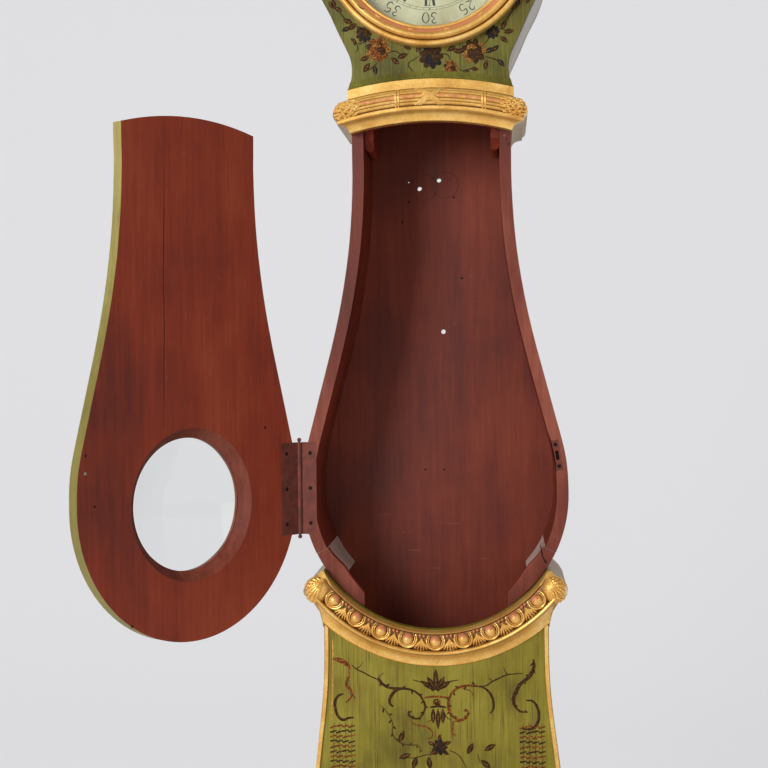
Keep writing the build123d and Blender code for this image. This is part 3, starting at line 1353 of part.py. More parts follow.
def hand(y_back, angle, reach, width, bore):
    """A pierced hand lying at angle degrees right of straight up."""
    turn = Location((C[0], C[1], 0), (0, 0, -angle))
    with BuildPart() as body:
        with BuildSketch(front(y_back)):
            with Locations(turn):
                Circle(width * 0.95)
                with Locations((0, reach * 0.20)):
                    Rectangle(width * 0.5, reach * 0.42)
                with Locations((0, reach * 0.42)):
                    Circle(width * 1.15)
                    Circle(width * 0.6, mode=Mode.SUBTRACT)
                with Locations((0, reach * 0.60)):
                    Rectangle(width * 0.36, reach * 0.26)
                with Locations((0, reach * 0.80)):
                    Ellipse(width * 0.55, reach * 0.20)
                with Locations((0, reach * -0.12)):
                    Ellipse(width * 0.45, reach * 0.08)
                Circle(bore, mode=Mode.SUBTRACT)
        extrude(amount=1.2)
    return body


MINUTE_AT = 50.0
HOUR_AT = 270.0 + 30.0 + MINUTE_AT / 12.0
minute_hand = hand(-112.6, MINUTE_AT, 104.0, 7.5, 3.2)
hour_hand = hand(-104.8, HOUR_AT, 72.0, 9.0, 4.6)

# ================= output =================
pieces = {
    "waist_side_left": waist_side_left.part,
    "waist_side_right": waist_side_right_cut.part,
    "waist_rims": waist_rims.part,
    "back_board": back_board.part,
    "neck_rail": neck_rail.part,
    "seat_cheeks": seat_cheeks.part,
    "seat_board": seat_board.part,
    "strike_plate": strike_plate.part,
    "hinge_case_leaf": case_leaf.part,
    "hinge_pin": hinge_pin.part,
    "case_screws": case_screws.part,
    "upper_moulding": upper_moulding.part,
    "lower_moulding": lower_moulding.part,
    "moulding_returns": moulding_returns.part,
    "base_front": base_front.part,
    "base_sides": base_sides.part,
    "base_beads": base_beads.part,
    "base_floor": base_floor.part,
    "belly_blocks": belly_blocks.part,
    "plinth": plinth.part,
    "plinth_moulding": plinth_moulding.part,
    "front_plate": front_plate.part,
    "back_plate": back_plate.part,
    "dial_plate": dial_plate.part,
    "back_cock": back_cock.part,
    "bell": bell.part,
    "bell_stand": bell_stand.part,
    "door_board": opened(door_closed.part),
    "door_lens": opened(lens_closed.part),
    "door_lens_ring": opened(lens_ring_closed.part),
    "hinge_door_leaf": opened(door_leaf.part),
    "hinge_door_screws": opened(door_screws_closed.part),
    "lock_case": opened(lock_closed.part),
    "lock_bolt": opened(bolt_closed.part),
    "escutcheon": opened(escutcheon_closed.part),
    "hood_front": hood_front.part,
    "hood_fillet": hood_fillet.part,
    "hood_sides": hood_sides.part,
    "hood_crown": hood_crown.part,
    "crown_moulding": crown_moulding.part,
    "crest": crest.part,
    "bezel_hinge_leaf": bezel_hinge_leaf.part,
    "bezel_ring": bezel_ring.part,
    "dial_glass": dial_glass.part,
    "going_wheel": going_wheel.part,
    "going_barrel": going_barrel.part,
    "strike_wheel": strike_wheel.part,
    "strike_barrel": strike_barrel.part,
    "centre_wheel": centre_wheel.part,
    "third_wheel": third_wheel.part,
    "escape_wheel": escape_wheel.part,
    "anchor": anchor.part,
    "pin_wheel": pin_wheel.part,
    "fly": fly.part,
    "hammer": hammer.part,
    "minute_wheel": minute_wheel.part,
    "cannon_wheel": cannon_wheel.part,
    "hour_wheel": hour_wheel.part,
    "minute_hand": minute_hand.part,
    "hour_hand": hour_hand.part,
}
for label, piece in pieces.items():
    piece.label = label
    export_step(piece, f"parts/{label}.step")
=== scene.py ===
"""Dresses the long-case clock: paint, gilding, carving, dial, hands and studio."""

import logging
import math
from dataclasses import dataclass, field
from enum import Enum
from typing import Callable, Iterable, Sequence

import bmesh
import bpy
from mathutils import Matrix, Vector


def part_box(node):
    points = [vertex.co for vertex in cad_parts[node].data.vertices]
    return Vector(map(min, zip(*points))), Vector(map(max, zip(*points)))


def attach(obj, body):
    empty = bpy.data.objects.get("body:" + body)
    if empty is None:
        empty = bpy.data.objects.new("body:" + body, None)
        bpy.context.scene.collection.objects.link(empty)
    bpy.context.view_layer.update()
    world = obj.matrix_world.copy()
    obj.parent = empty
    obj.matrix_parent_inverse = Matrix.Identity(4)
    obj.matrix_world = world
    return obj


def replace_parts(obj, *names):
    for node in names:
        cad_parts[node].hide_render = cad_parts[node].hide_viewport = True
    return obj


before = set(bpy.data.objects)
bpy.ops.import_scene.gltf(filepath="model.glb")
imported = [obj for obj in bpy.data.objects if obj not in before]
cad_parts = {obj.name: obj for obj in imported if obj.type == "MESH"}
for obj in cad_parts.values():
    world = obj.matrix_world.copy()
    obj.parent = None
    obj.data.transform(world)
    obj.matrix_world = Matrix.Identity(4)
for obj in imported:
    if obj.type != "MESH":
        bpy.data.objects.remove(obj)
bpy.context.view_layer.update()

log = logging.getLogger("clock")

MM = 0.001
Point = tuple[float, float]
Colour = tuple[float, float, float, float]


class Slot(Enum):
    """Slots of the clock's record, passed along with the new pieces but not given to them."""

    RED = "red_paint"
    GREEN = "green_paint"
    PALE = "pale_paint"
    GILT = "gilding"
    DIAL = "dial_paint"


class Body(Enum):
    """Bodies that the new pieces ride on."""

    CASE = "case"
    DOOR = "door"
    HOOD = "hood"
    BEZEL = "bezel"


def tint(red: float, green: float, blue: float) -> Colour:
    """Linear colour of a shade given in display units from 0 to 255."""

    def linear(level: float) -> float:
        """One channel in linear light."""
        share = level / 255
        return share / 12.92 if share <= 0.04045 else ((share + 0.055) / 1.055) ** 2.4

    return (linear(red), linear(green), linear(blue), 1.0)


# ---------------------------------------------------------------- shader maths
class Num:
    """A number that varies over a surface, with the usual arithmetic."""

    def __init__(self, surface: "Surface", socket: bpy.types.NodeSocket) -> None:
        """Wraps one output socket of a surface's node tree."""
        self.surface = surface
        self.socket = socket

    def maths(self, operation: str, first: object, second: object) -> "Num":
        """Adds a Math node.

        Args:
            operation: Name of the node's operation.
            first: Value or link of its first socket.
            second: Value or link of its second socket.

        Returns:
            The node's result.
        """
        node = self.surface.node("ShaderNodeMath", {"operation": operation}, {0: first, 1: second})
        return Num(self.surface, node.outputs[0])

    def __add__(self, other: object) -> "Num":
        """Sum."""
        return self.maths("ADD", self, other)

    __radd__ = __add__

    def __mul__(self, other: object) -> "Num":
        """Product."""
        return self.maths("MULTIPLY", self, other)

    __rmul__ = __mul__

    def __sub__(self, other: object) -> "Num":
        """Difference."""
        return self.maths("SUBTRACT", self, other)

    def __rsub__(self, other: object) -> "Num":
        """Difference, the other way round."""
        return self.maths("SUBTRACT", other, self)

    def most(self, other: object) -> "Num":
        """The larger of the two."""
        return self.maths("MAXIMUM", self, other)

    def ramp(self, low: float, high: float) -> "Num":
        """A smooth step from 0 at low to 1 at high."""
        node = self.surface.node(
            "ShaderNodeMapRange",
            {"interpolation_type": "SMOOTHSTEP"},
            {"Value": self, "From Min": low, "From Max": high},
        )
        return Num(self.surface, node.outputs["Result"])


class Surface:
    """The node tree of one finish, drawn on the clock's own coordinates."""

    def __init__(self, name: str) -> None:
        """Starts an empty material with a Principled shader."""
        self.material = bpy.data.materials.new(name)
        self.material.use_nodes = True
        self.tree = self.material.node_tree
        self.tree.nodes.clear()
        self.place = self.node("ShaderNodeTexCoord").outputs["Object"]
        self.skin = self.node("ShaderNodeBsdfPrincipled")
        self.node("ShaderNodeOutputMaterial", {}, {"Surface": self.skin.outputs[0]})

    def node(self, kind: str, settings: dict | None = None,
             values: dict | None = None) -> bpy.types.Node:
        """Adds any node.

        Args:
            kind: The node's type.
            settings: Its own settings, set first; a colour ramp's "stops" are among them.
            values: Values or links of its sockets, by name or number.

        Returns:
            The node.
        """
        node = self.tree.nodes.new(kind)
        for key, value in (settings or {}).items():
            if key == "stops":
                while len(node.color_ramp.elements) < len(value):
                    node.color_ramp.elements.new(0.5)
                for element, (position, colour) in zip(node.color_ramp.elements, value):
                    element.position = position
                    element.color = colour
            else:
                setattr(node, key, value)
        for key, value in (values or {}).items():
            self.feed(node.inputs[key], value)
        return node

    def feed(self, socket: bpy.types.NodeSocket, value: object) -> None:
        """Links a socket, or sets its value."""
        if isinstance(value, Num):
            value = value.socket
        if isinstance(value, bpy.types.NodeSocket):
            self.tree.links.new(value, socket)
        else:
            socket.default_value = value

    def stretched(self, scale: Sequence[float]) -> bpy.types.NodeSocket:
        """Object coordinates times a scale for each axis."""
        node = self.node("ShaderNodeMapping", {}, {"Vector": self.place, "Scale": scale})
        return node.outputs[0]

    def noise(self, scale: Sequence[float], detail: float = 3.0, rough: float = 0.55,
              seed: float = 0.0) -> Num:
        """Noise from 0 to 1.

        Args:
            scale: Cells to the metre along X, Y and Z.
            detail: Octaves.
            rough: Weight of the finer octaves.
            seed: Shift of the fourth coordinate, for another pattern.

        Returns:
            The noise.
        """
        values = {"Vector": self.stretched(scale), "W": seed, "Scale": 1.0, "Detail": detail}
        values["Roughness"] = rough
        node = self.node("ShaderNodeTexNoise", {"noise_dimensions": "4D"}, values)
        return Num(self, node.outputs[0])

    def spots(self, scale: float, seed: float) -> Num:
        """Distance to the nearest of scattered points, 0 at each point."""
        values = {"Vector": self.stretched((scale, scale, scale)), "W": seed, "Scale": 1.0}
        node = self.node("ShaderNodeTexVoronoi", {"voronoi_dimensions": "4D"}, values)
        return Num(self, node.outputs["Distance"])

    def trait(self, name: str) -> Num:
        """A number stored on the piece's own vertices."""
        node = self.node("ShaderNodeAttribute", {"attribute_name": name})
        return Num(self, node.outputs["Fac"])

    def shade(self, value: Num, stops: Sequence[tuple[float, Colour]]) -> bpy.types.NodeSocket:
        """A colour read off a ramp."""
        return self.node("ShaderNodeValToRGB", {"stops": stops}, {0: value}).outputs[0]

    def mix(self, first: object, second: object, share: object) -> bpy.types.NodeSocket:
        """The first colour turning into the second by a share."""
        node = self.node("ShaderNodeMix", {"data_type": "RGBA"}, {0: share, 6: first, 7: second})
        return node.outputs[2]

    def bump(self, height: Num, distance: float, strength: float = 1.0) -> None:
        """Roughens the skin by a height of so many metres."""
        values = {"Height": height, "Distance": distance, "Strength": strength}
        node = self.node("ShaderNodeBump", {}, values)
        self.feed(self.skin.inputs["Normal"], node.outputs[0])

    def wear(self, **values: object) -> bpy.types.Material:
        """Feeds the skin's sockets, named with _ for a space, and gives the material."""
        for key, value in values.items():
            self.feed(self.skin.inputs[key.replace("_", " ").title().replace("Ior", "IOR")], value)
        return self.material


# ---------------------------------------------------------------- finishes
@dataclass(frozen=True)
class Distemper:
    """Thin red-brown paint on pine, scuffed and streaked."""

    name: str = "red_distemper"
    dark: Colour = tint(82, 22, 5)
    middle: Colour = tint(126, 40, 13)
    light: Colour = tint(152, 62, 30)
    scuff: Colour = tint(188, 138, 122)
    scuffed: float = 0.0

    def material(self) -> bpy.types.Material:
        """Builds the material."""
        s = Surface(self.name)
        cloud = s.noise((5, 5, 3.2), 5, 0.62)
        streak = s.noise((150, 150, 7), 3, 0.6, 2.0)
        board = s.noise((16, 16, 1.1), 2, 0.5, 4.0)
        tone = cloud * 0.62 + streak * 0.22 + board * 0.3
        paint = s.shade(tone, [(0.40, self.dark), (0.56, self.middle), (0.74, self.light)])
        rub = (s.noise((38, 38, 24), 8, 0.72, 7.0) + self.scuffed).ramp(0.68, 0.76)
        rub = rub * s.noise((9, 9, 9), 2, 0.5, 9.0).ramp(0.42, 0.62)
        fleck = 1 - s.spots(260, 3.0).ramp(0.05, 0.16)
        fleck = fleck * s.noise((24, 24, 24), 3, 0.6, 5.0).ramp(0.54, 0.66)
        paint = s.mix(paint, self.scuff, (rub * 0.34).most(fleck * 0.45))
        s.bump(streak * 0.7 + s.noise((600, 600, 90), 2, 0.5, 1.0) * 0.3, 0.0004, 0.5)
        rough = 0.40 + cloud * 0.25 + rub * 0.1
        return s.wear(base_color=paint, roughness=rough, specular_ior_level=0.36)


@dataclass(frozen=True)
class OldGreen:
    """Olive green oil paint with vertical wear, brown patches and pale nicks."""

    name: str = "olive_green"
    dark: Colour = tint(88, 76, 12)
    middle: Colour = tint(122, 110, 26)
    light: Colour = tint(146, 136, 46)

    def material(self) -> bpy.types.Material:
        """Builds the material."""
        s = Surface(self.name)
        cloud = s.noise((11, 11, 7), 4, 0.6)
        grain = s.noise((420, 420, 12), 3, 0.6, 2.0)
        tone = cloud * 0.7 + grain * 0.3
        paint = s.shade(tone, [(0.36, self.dark), (0.50, self.middle), (0.66, self.light)])
        brown = s.noise((17, 17, 6), 5, 0.65, 5.0).ramp(0.54, 0.72)
        paint = s.mix(paint, tint(118, 84, 36), brown * 0.34)
        line = s.noise((520, 520, 9), 2, 0.5, 8.0).ramp(0.55, 0.66)
        line = line * s.noise((30, 30, 9), 2, 0.5, 9.0).ramp(0.34, 0.56)
        paint = s.mix(paint, tint(64, 48, 16), line * 0.75)
        nick = s.noise((700, 700, 70), 3, 0.6, 12.0).ramp(0.66, 0.72)
        nick = nick * s.noise((14, 14, 8), 3, 0.6, 13.0).ramp(0.48, 0.66)
        paint = s.mix(paint, tint(205, 186, 150), nick * 0.75)
        s.bump(grain, 0.0003, 0.5)
        return s.wear(base_color=paint, roughness=0.36 + cloud * 0.2, specular_ior_level=0.3)


@dataclass(frozen=True)
class SidePaint:
    """Pale grey-beige oil paint of the case's sides, rubbed and yellowed."""

    name: str = "pale_side_paint"
    dark: Colour = tint(158, 148, 134)
    middle: Colour = tint(188, 182, 172)
    light: Colour = tint(208, 203, 196)

    def material(self) -> bpy.types.Material:
        """Builds the material."""
        s = Surface(self.name)
        cloud = s.noise((8, 8, 5), 5, 0.6)
        grain = s.noise((300, 300, 10), 3, 0.6, 2.0)
        stops = [(0.34, self.dark), (0.52, self.middle), (0.7, self.light)]
        paint = s.shade(cloud * 0.75 + grain * 0.25, stops)
        rub = s.noise((30, 30, 14), 7, 0.7, 6.0).ramp(0.62, 0.72)
        paint = s.mix(paint, tint(150, 118, 88), rub * 0.6)
        s.bump(grain, 0.0003, 0.4)
        return s.wear(base_color=paint, roughness=0.45 + cloud * 0.2)


@dataclass(frozen=True)
class WaterGilding:
    """Old gold leaf over red bole, rubbed through where a piece says so, and browned in its hollows by
    dirt and painted shade.
    """

    name: str = "water_gilding"
    bole_everywhere: float = 0.0

    def material(self) -> bpy.types.Material:
        """Builds the material."""
        s = Surface(self.name)
        cloud = s.noise((26, 26, 26), 4, 0.6)
        fine = s.noise((260, 260, 260), 4, 0.65, 3.0)
        tone = cloud * 0.6 + fine * 0.4
        stops = [(0.34, tint(202, 144, 64)), (0.52, tint(232, 183, 97)), (0.70, tint(248, 216, 146))]
        gold = s.shade(tone, stops)
        # Dirt and painted shade: where a piece marks its hollows deep, the gold turns brown, duller and
        # rougher.
        deep = s.trait("deep").most(0.0)
        dirt_and_shade = (deep + (fine - 0.5) * 0.5).ramp(0.25, 0.95)
        gold = s.mix(gold, tint(104, 62, 22), dirt_and_shade * 0.9)
        stain = s.noise((70, 70, 70), 6, 0.7, 6.0).ramp(0.63, 0.74)
        gold = s.mix(gold, tint(150, 104, 50), stain * 0.5)
        rub = s.trait("rub") + self.bole_everywhere
        bare = (rub + (s.noise((90, 90, 90), 5, 0.7, 8.0) - 0.5) * 1.1).ramp(0.42, 0.72)
        gold = s.mix(gold, tint(194, 116, 78), bare * 0.9)
        s.bump(fine, 0.00025, 0.5)
        return s.wear(
            base_color=gold,
            metallic=0.58 - bare * 0.4 - dirt_and_shade * 0.3,
            roughness=0.34 + cloud * 0.12 + bare * 0.1 + dirt_and_shade * 0.15,
        )


@dataclass(frozen=True)
class DialWhite:
    """Greenish white dial paint, yellowed and finely crazed."""

    name: str = "dial_white"

    def material(self) -> bpy.types.Material:
        """Builds the material."""
        s = Surface(self.name)
        cloud = s.noise((18, 18, 18), 4, 0.6)
        stops = [(0.35, tint(130, 126, 94)), (0.52, tint(147, 144, 112)), (0.7, tint(160, 160, 132))]
        paint = s.shade(cloud, stops)
        node = s.node(
            "ShaderNodeTexVoronoi",
            {"feature": "DISTANCE_TO_EDGE"},
            {"Vector": s.stretched((150, 150, 150)), "Scale": 1.0},
        )
        crack = 1 - Num(s, node.outputs["Distance"]).ramp(0.0, 0.035)
        crack = crack * s.noise((20, 20, 20), 3, 0.6, 4.0).ramp(0.5, 0.62)
        paint = s.mix(paint, tint(150, 140, 108), crack * 0.5)
        return s.wear(base_color=paint, roughness=0.34 + cloud * 0.12)


@dataclass(frozen=True)
class Bare:
    """A bare metal with tarnish and fine turning or filing marks."""

    name: str
    bright: Colour
    dull: Colour
    stain: Colour
    metal: float = 1.0
    rough: float = 0.32
    stained: float = 0.5

    def material(self) -> bpy.types.Material:
        """Builds the material."""
        s = Surface(self.name)
        cloud = s.noise((60, 60, 60), 5, 0.62)
        fine = s.noise((900, 900, 900), 3, 0.6, 3.0)
        base = s.mix(self.bright, self.dull, cloud.ramp(0.35, 0.68))
        spot = s.noise((140, 140, 140), 6, 0.7, 5.0).ramp(0.52, 0.66)
        base = s.mix(base, self.stain, spot * self.stained)
        s.bump(fine, 0.0001, 0.5)
        rough = self.rough + spot * 0.2 + cloud * 0.12
        return s.wear(base_color=base, metallic=self.metal - spot * 0.3, roughness=rough)


@dataclass(frozen=True)
class Brushed:
    """Thin decorative brushwork with worn highlights, one tone of the painter's palette."""

    name: str
    ground: Colour
    light: Colour
    lit: float = 0.5
    rough: float = 0.6
    worn: float = 0.5

    def material(self) -> bpy.types.Material:
        """Builds the material."""
        s = Surface(self.name)
        dab = s.noise((330, 330, 330), 4, 0.65, 2.0)
        paint = s.mix(self.ground, self.light, dab.ramp(0.58 - self.lit * 0.2, 0.74 - self.lit * 0.2))
        gap = s.noise((520, 520, 120), 4, 0.7, 6.0).ramp(0.62, 0.70)
        paint = s.mix(paint, tint(126, 116, 52), gap * self.worn)
        return s.wear(base_color=paint, roughness=self.rough + gap * 0.15, specular_ior_level=0.12)


@dataclass(frozen=True)
class ClearGlass:
    """Clear old glass."""

    name: str = "clear_glass"

    def material(self) -> bpy.types.Material:
        """Builds the material."""
        s = Surface(self.name)
        return s.wear(
            base_color=(0.96, 0.98, 0.97, 1), roughness=0.02, ior=1.45, transmission_weight=1.0
        )


class Paintbox:
    """Every finish of the clock, each made once; palette holds the painter's in the order of Tone."""

    def __init__(self) -> None:
        """Builds the materials."""
        self.red = Distemper().material()
        # Painted shade: a darker copy of the red for the faces inside the waist's recess.
        self.red_shaded_inside = Distemper(
            "red_distemper_shaded_inside", tint(62, 15, 4), tint(104, 33, 11), tint(132, 52, 26)
        ).material()
        self.red_worn = Distemper(
            "red_distemper_edge", tint(76, 24, 11), tint(104, 40, 23), tint(144, 76, 56), scuffed=0.05
        ).material()
        self.green = OldGreen().material()
        self.hood_green = OldGreen(
            "hood_green", tint(62, 58, 14), tint(92, 88, 24), tint(118, 116, 44)
        ).material()
        self.side = SidePaint().material()
        self.beige = SidePaint(
            "beige_returns", tint(140, 112, 78), tint(178, 156, 124), tint(202, 188, 164)
        ).material()
        self.gilt = WaterGilding().material()
        self.gilt_worn = WaterGilding("worn_gilt_edge", 0.42).material()
        self.gilt_band = WaterGilding("patchy_gilt", 0.12).material()
        self.dial = DialWhite().material()
        self.brass = Bare(
            "aged_brass", tint(214, 176, 100), tint(176, 136, 66), tint(104, 76, 36)
        ).material()
        self.steel = Bare(
            "old_steel", tint(176, 174, 170), tint(128, 124, 118), tint(84, 66, 52), rough=0.3
        ).material()
        self.iron = Bare(
            "painted_iron", tint(112, 50, 36), tint(88, 38, 28), tint(64, 44, 36),
            metal=0.35, rough=0.45, stained=0.8,
        ).material()
        self.glass = ClearGlass().material()
        self.edge = Distemper(
            "worn_green_edge", tint(104, 92, 38), tint(128, 118, 58), tint(170, 154, 98),
            tint(208, 188, 140), 0.08,
        ).material()
        self.edge_dark = Distemper(
            "dark_green_edge", tint(40, 34, 14), tint(62, 54, 24), tint(92, 80, 38), tint(150, 128, 84)
        ).material()
        self.pine = Distemper(
            "bare_pine", tint(118, 88, 58), tint(150, 116, 80), tint(174, 142, 104), tint(96, 72, 48)
        ).material()
        self.grey_worn = Distemper(
            "greyed_distemper", tint(140, 112, 100), tint(176, 154, 144), tint(204, 190, 184),
            tint(220, 210, 204), 0.1,
        ).material()
        self.mark = Brushed("dark_mark", tint(34, 14, 9), tint(58, 26, 18), 0.1, worn=0.0).material()
        self.palette = [
            Brushed("brush_umber", tint(50, 30, 12), tint(104, 70, 28), 0.32, worn=0.35).material(),
            Brushed("brush_bronze", tint(92, 58, 22), tint(168, 116, 54), 0.6).material(),
            Brushed("brush_russet", tint(88, 42, 14), tint(156, 92, 34), 0.5, worn=0.35).material(),
            Brushed("brush_ink", tint(26, 24, 24), tint(58, 52, 44), 0.3, worn=0.3).material(),
            Brushed("gilt_line", tint(160, 118, 52), tint(206, 166, 92), 0.5).material(),
            Brushed("dial_black", tint(30, 29, 26), tint(58, 55, 46), 0.2, worn=0.0).material(),
            self.mark,
            Brushed("pale_scuff", tint(128, 66, 46), tint(164, 108, 90), 0.5, worn=0.0).material(),
        ]


# ---------------------------------------------------------------- shop tools
def link(name: str, mesh: bpy.types.Mesh, body: Body,
         finishes: Sequence[bpy.types.Material]) -> bpy.types.Object:
    """Hangs a mesh on a body.

    Args:
        name: The piece's name.
        mesh: Its mesh, already in place.
        body: What it rides on.
        finishes: Its materials, in the order of its faces' numbers.

    Returns:
        The piece.
    """
    for finish in finishes:
        mesh.materials.append(finish)
    piece = bpy.data.objects.new(name, mesh)
    bpy.context.scene.collection.objects.link(piece)
    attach(piece, body.value)
    log.info("%s: %d faces on %s", name, len(mesh.polygons), body.value)
    return piece


def settle(name: str, bm: bmesh.types.BMesh, smooth_below: float = 35.0) -> bpy.types.Mesh:
    """Turns an edit mesh into a mesh in metres with outward faces.

    Args:
        name: The mesh's name.
        bm: The edit mesh in millimetres, freed here.
        smooth_below: Edges flatter than this many degrees shade smooth.

    Returns:
        The mesh.
    """
    bmesh.ops.recalc_face_normals(bm, faces=bm.faces)
    bmesh.ops.scale(bm, vec=(MM, MM, MM), verts=bm.verts)
    for face in bm.faces:
        face.smooth = True
    mesh = bpy.data.meshes.new(name)
    bm.to_mesh(mesh)
    bm.free()
    mesh.set_sharp_from_angle(angle=math.radians(smooth_below))
    return mesh


@dataclass(frozen=True)
class Station:
    """One point of a moulding's section: radius, depth forward, its wear, and the dirt and painted
    shade of its hollow.
    """

    radius: float
    depth: float
    rub: float = 0.0
    deep: float = 0.0


@dataclass(frozen=True)
class Arc:
    """Polar coordinates on an upright plane: centre height, plane depth, and which way radius grows."""

    centre_z: float
    plane_y: float
    up: int = 1

    def at(self, radius: float, degrees: float, depth: float) -> Vector:
        """The point at a radius, degrees right of the middle, and depth forward."""
        turn = math.radians(degrees)
        height = self.centre_z + self.up * radius * math.cos(turn)
        return Vector((radius * math.sin(turn), self.plane_y - depth, height))

    def spun(self, section: Sequence[Station], start: float, end: float,
             steps: int) -> bmesh.types.BMesh:
        """A closed section swept along the arc.

        Args:
            section: The section's corners in order.
            start: First angle in degrees.
            end: Last angle in degrees.
            steps: Lengths along the sweep; a sweep of 360 closes on itself.

        Returns:
            An edit mesh in millimetres with layers rub and deep.
        """
        bm = bmesh.new()
        rub = bm.verts.layers.float.new("rub")
        deep = bm.verts.layers.float.new("deep")
        ring = []
        for station in section:
            vert = bm.verts.new(self.at(station.radius, start, station.depth))
            vert[rub] = station.rub
            vert[deep] = station.deep
            ring.append(vert)
        edges = [bm.edges.new((a, b)) for a, b in zip(ring, ring[1:] + ring[:1])]
        whole = abs(end - start) >= 360
        if not whole:
            bm.faces.new(ring)
        turn = math.radians(end - start) * self.up
        centre = (0, self.plane_y, self.centre_z)
        result = bmesh.ops.spin(
            bm, geom=ring + edges, cent=centre, axis=(0, 1, 0), dvec=(0, 0, 0), angle=turn, steps=steps,
            use_merge=whole,
        )
        if not whole:
            last = [item for item in result["geom_last"] if isinstance(item, bmesh.types.BMEdge)]
            bmesh.ops.edgeloop_fill(bm, edges=last)
        return bm


def trimmed(bm: bmesh.types.BMesh, point: Sequence[float], outward: Sequence[float]) -> None:
    """Cuts off what lies outward of a plane and closes the cut."""
    geometry = bm.verts[:] + bm.edges[:] + bm.faces[:]
    cut = bmesh.ops.bisect_plane(bm, geom=geometry, plane_co=point, plane_no=outward, clear_outer=True)
    edges = [item for item in cut["geom_cut"] if isinstance(item, bmesh.types.BMEdge)]
    if edges:
        bmesh.ops.edgenet_fill(bm, edges=edges)


def ball(bm: bmesh.types.BMesh, place: Matrix, size: Sequence[float],
         rub: Callable[[Vector], float] | float = 0.0, deep: float = 0.0, fine: int = 12) -> None:
    """Adds an ellipsoid.

    Args:
        bm: The edit mesh that it joins.
        place: Takes it to its place.
        size: Its three half sizes.
        rub: How far its gold is rubbed, for all of it or by the place on a ball of radius 1.
        deep: How much dirt and painted shade darken it.
        fine: Its meridians.
    """
    rows = max(6, fine * 2 // 3)
    made = bmesh.ops.create_uvsphere(bm, u_segments=fine, v_segments=rows, radius=1.0)["verts"]
    rub_layer = bm.verts.layers.float.get("rub") or bm.verts.layers.float.new("rub")
    deep_layer = bm.verts.layers.float.get("deep") or bm.verts.layers.float.new("deep")
    for vert in made:
        vert[rub_layer] = rub(vert.co) if callable(rub) else rub
        vert[deep_layer] = deep
    bmesh.ops.transform(bm, matrix=place @ Matrix.Diagonal((*size, 1.0)), verts=made)


def facing(origin: Vector, out: Vector, up: Vector) -> Matrix:
    """A frame whose Y looks out of the work and whose Z runs along up."""
    y = out.normalized()
    x = y.cross(up).normalized()
    z = x.cross(y)
    return Matrix.Translation(origin) @ Matrix((x, y, z)).transposed().to_4x4()


class Cords:
    """Round or flat strokes along smooth lines, all in one mesh."""

    def __init__(self, flat: float = 1.0) -> None:
        """Starts with a section whose height is flat times its width."""
        section = bpy.data.curves.new("section", "CURVE")
        section.dimensions = "2D"
        spline = section.splines.new("POLY")
        spline.points.add(7)
        for k, point in enumerate(spline.points):
            turn = math.tau * k / 8
            point.co = (math.cos(turn), math.sin(turn) * flat, 0, 1)
        spline.use_cyclic_u = True
        self.section = bpy.data.objects.new("section", section)
        self.curve = bpy.data.curves.new("cords", "CURVE")
        self.curve.dimensions = "3D"
        self.curve.bevel_mode = "OBJECT"
        self.curve.bevel_object = self.section
        self.curve.use_fill_caps = True
        self.curve.twist_mode = "Z_UP"
        self.curve.resolution_u = 5

    def add(self, points: Iterable[Sequence[float]], widths: Sequence[float]) -> None:
        """Adds one stroke through points, its half width spread over widths."""
        points = [tuple(p) if len(p) == 3 else (p[0], p[1], 0.0) for p in points]
        spline = self.curve.splines.new("BEZIER")
        spline.bezier_points.add(len(points) - 1)
        for k, (knot, place) in enumerate(zip(spline.bezier_points, points)):
            knot.co = place
            knot.handle_left_type = knot.handle_right_type = "AUTO"
            share = k / max(1, len(points) - 1) * (len(widths) - 1)
            low = min(int(share), len(widths) - 1)
            high = min(low + 1, len(widths) - 1)
            knot.radius = widths[low] + (widths[high] - widths[low]) * (share - low)

    def mesh(self) -> bpy.types.Mesh:
        """The strokes as a mesh, after which the curves are gone."""
        carrier = bpy.data.objects.new("cords", self.curve)
        bpy.context.scene.collection.objects.link(carrier)
        bpy.context.view_layer.update()
        graph = bpy.context.evaluated_depsgraph_get()
        mesh = bpy.data.meshes.new_from_object(carrier.evaluated_get(graph))
        bpy.data.objects.remove(carrier)
        bpy.data.objects.remove(self.section)
        return mesh


class Tone(Enum):
    """The painter's tones, in the order of a painting's materials."""

    UMBER = 0
    BRONZE = 1
    RUSSET = 2
    INK = 3
    GOLD = 4
    BLACK = 5
    MARK = 6
    SCUFF = 7


def along(points: Sequence[Point], share: float) -> tuple[float, float, float]:
    """A place on a line through points: across, up, and the heading there in degrees."""
    place = share * (len(points) - 1)
    k = min(int(place), len(points) - 2)
    (x0, z0), (x1, z1) = points[k], points[k + 1]
    part = place - k
    return x0 + (x1 - x0) * part, z0 + (z1 - z0) * part, math.degrees(math.atan2(z1 - z0, x1 - x0))


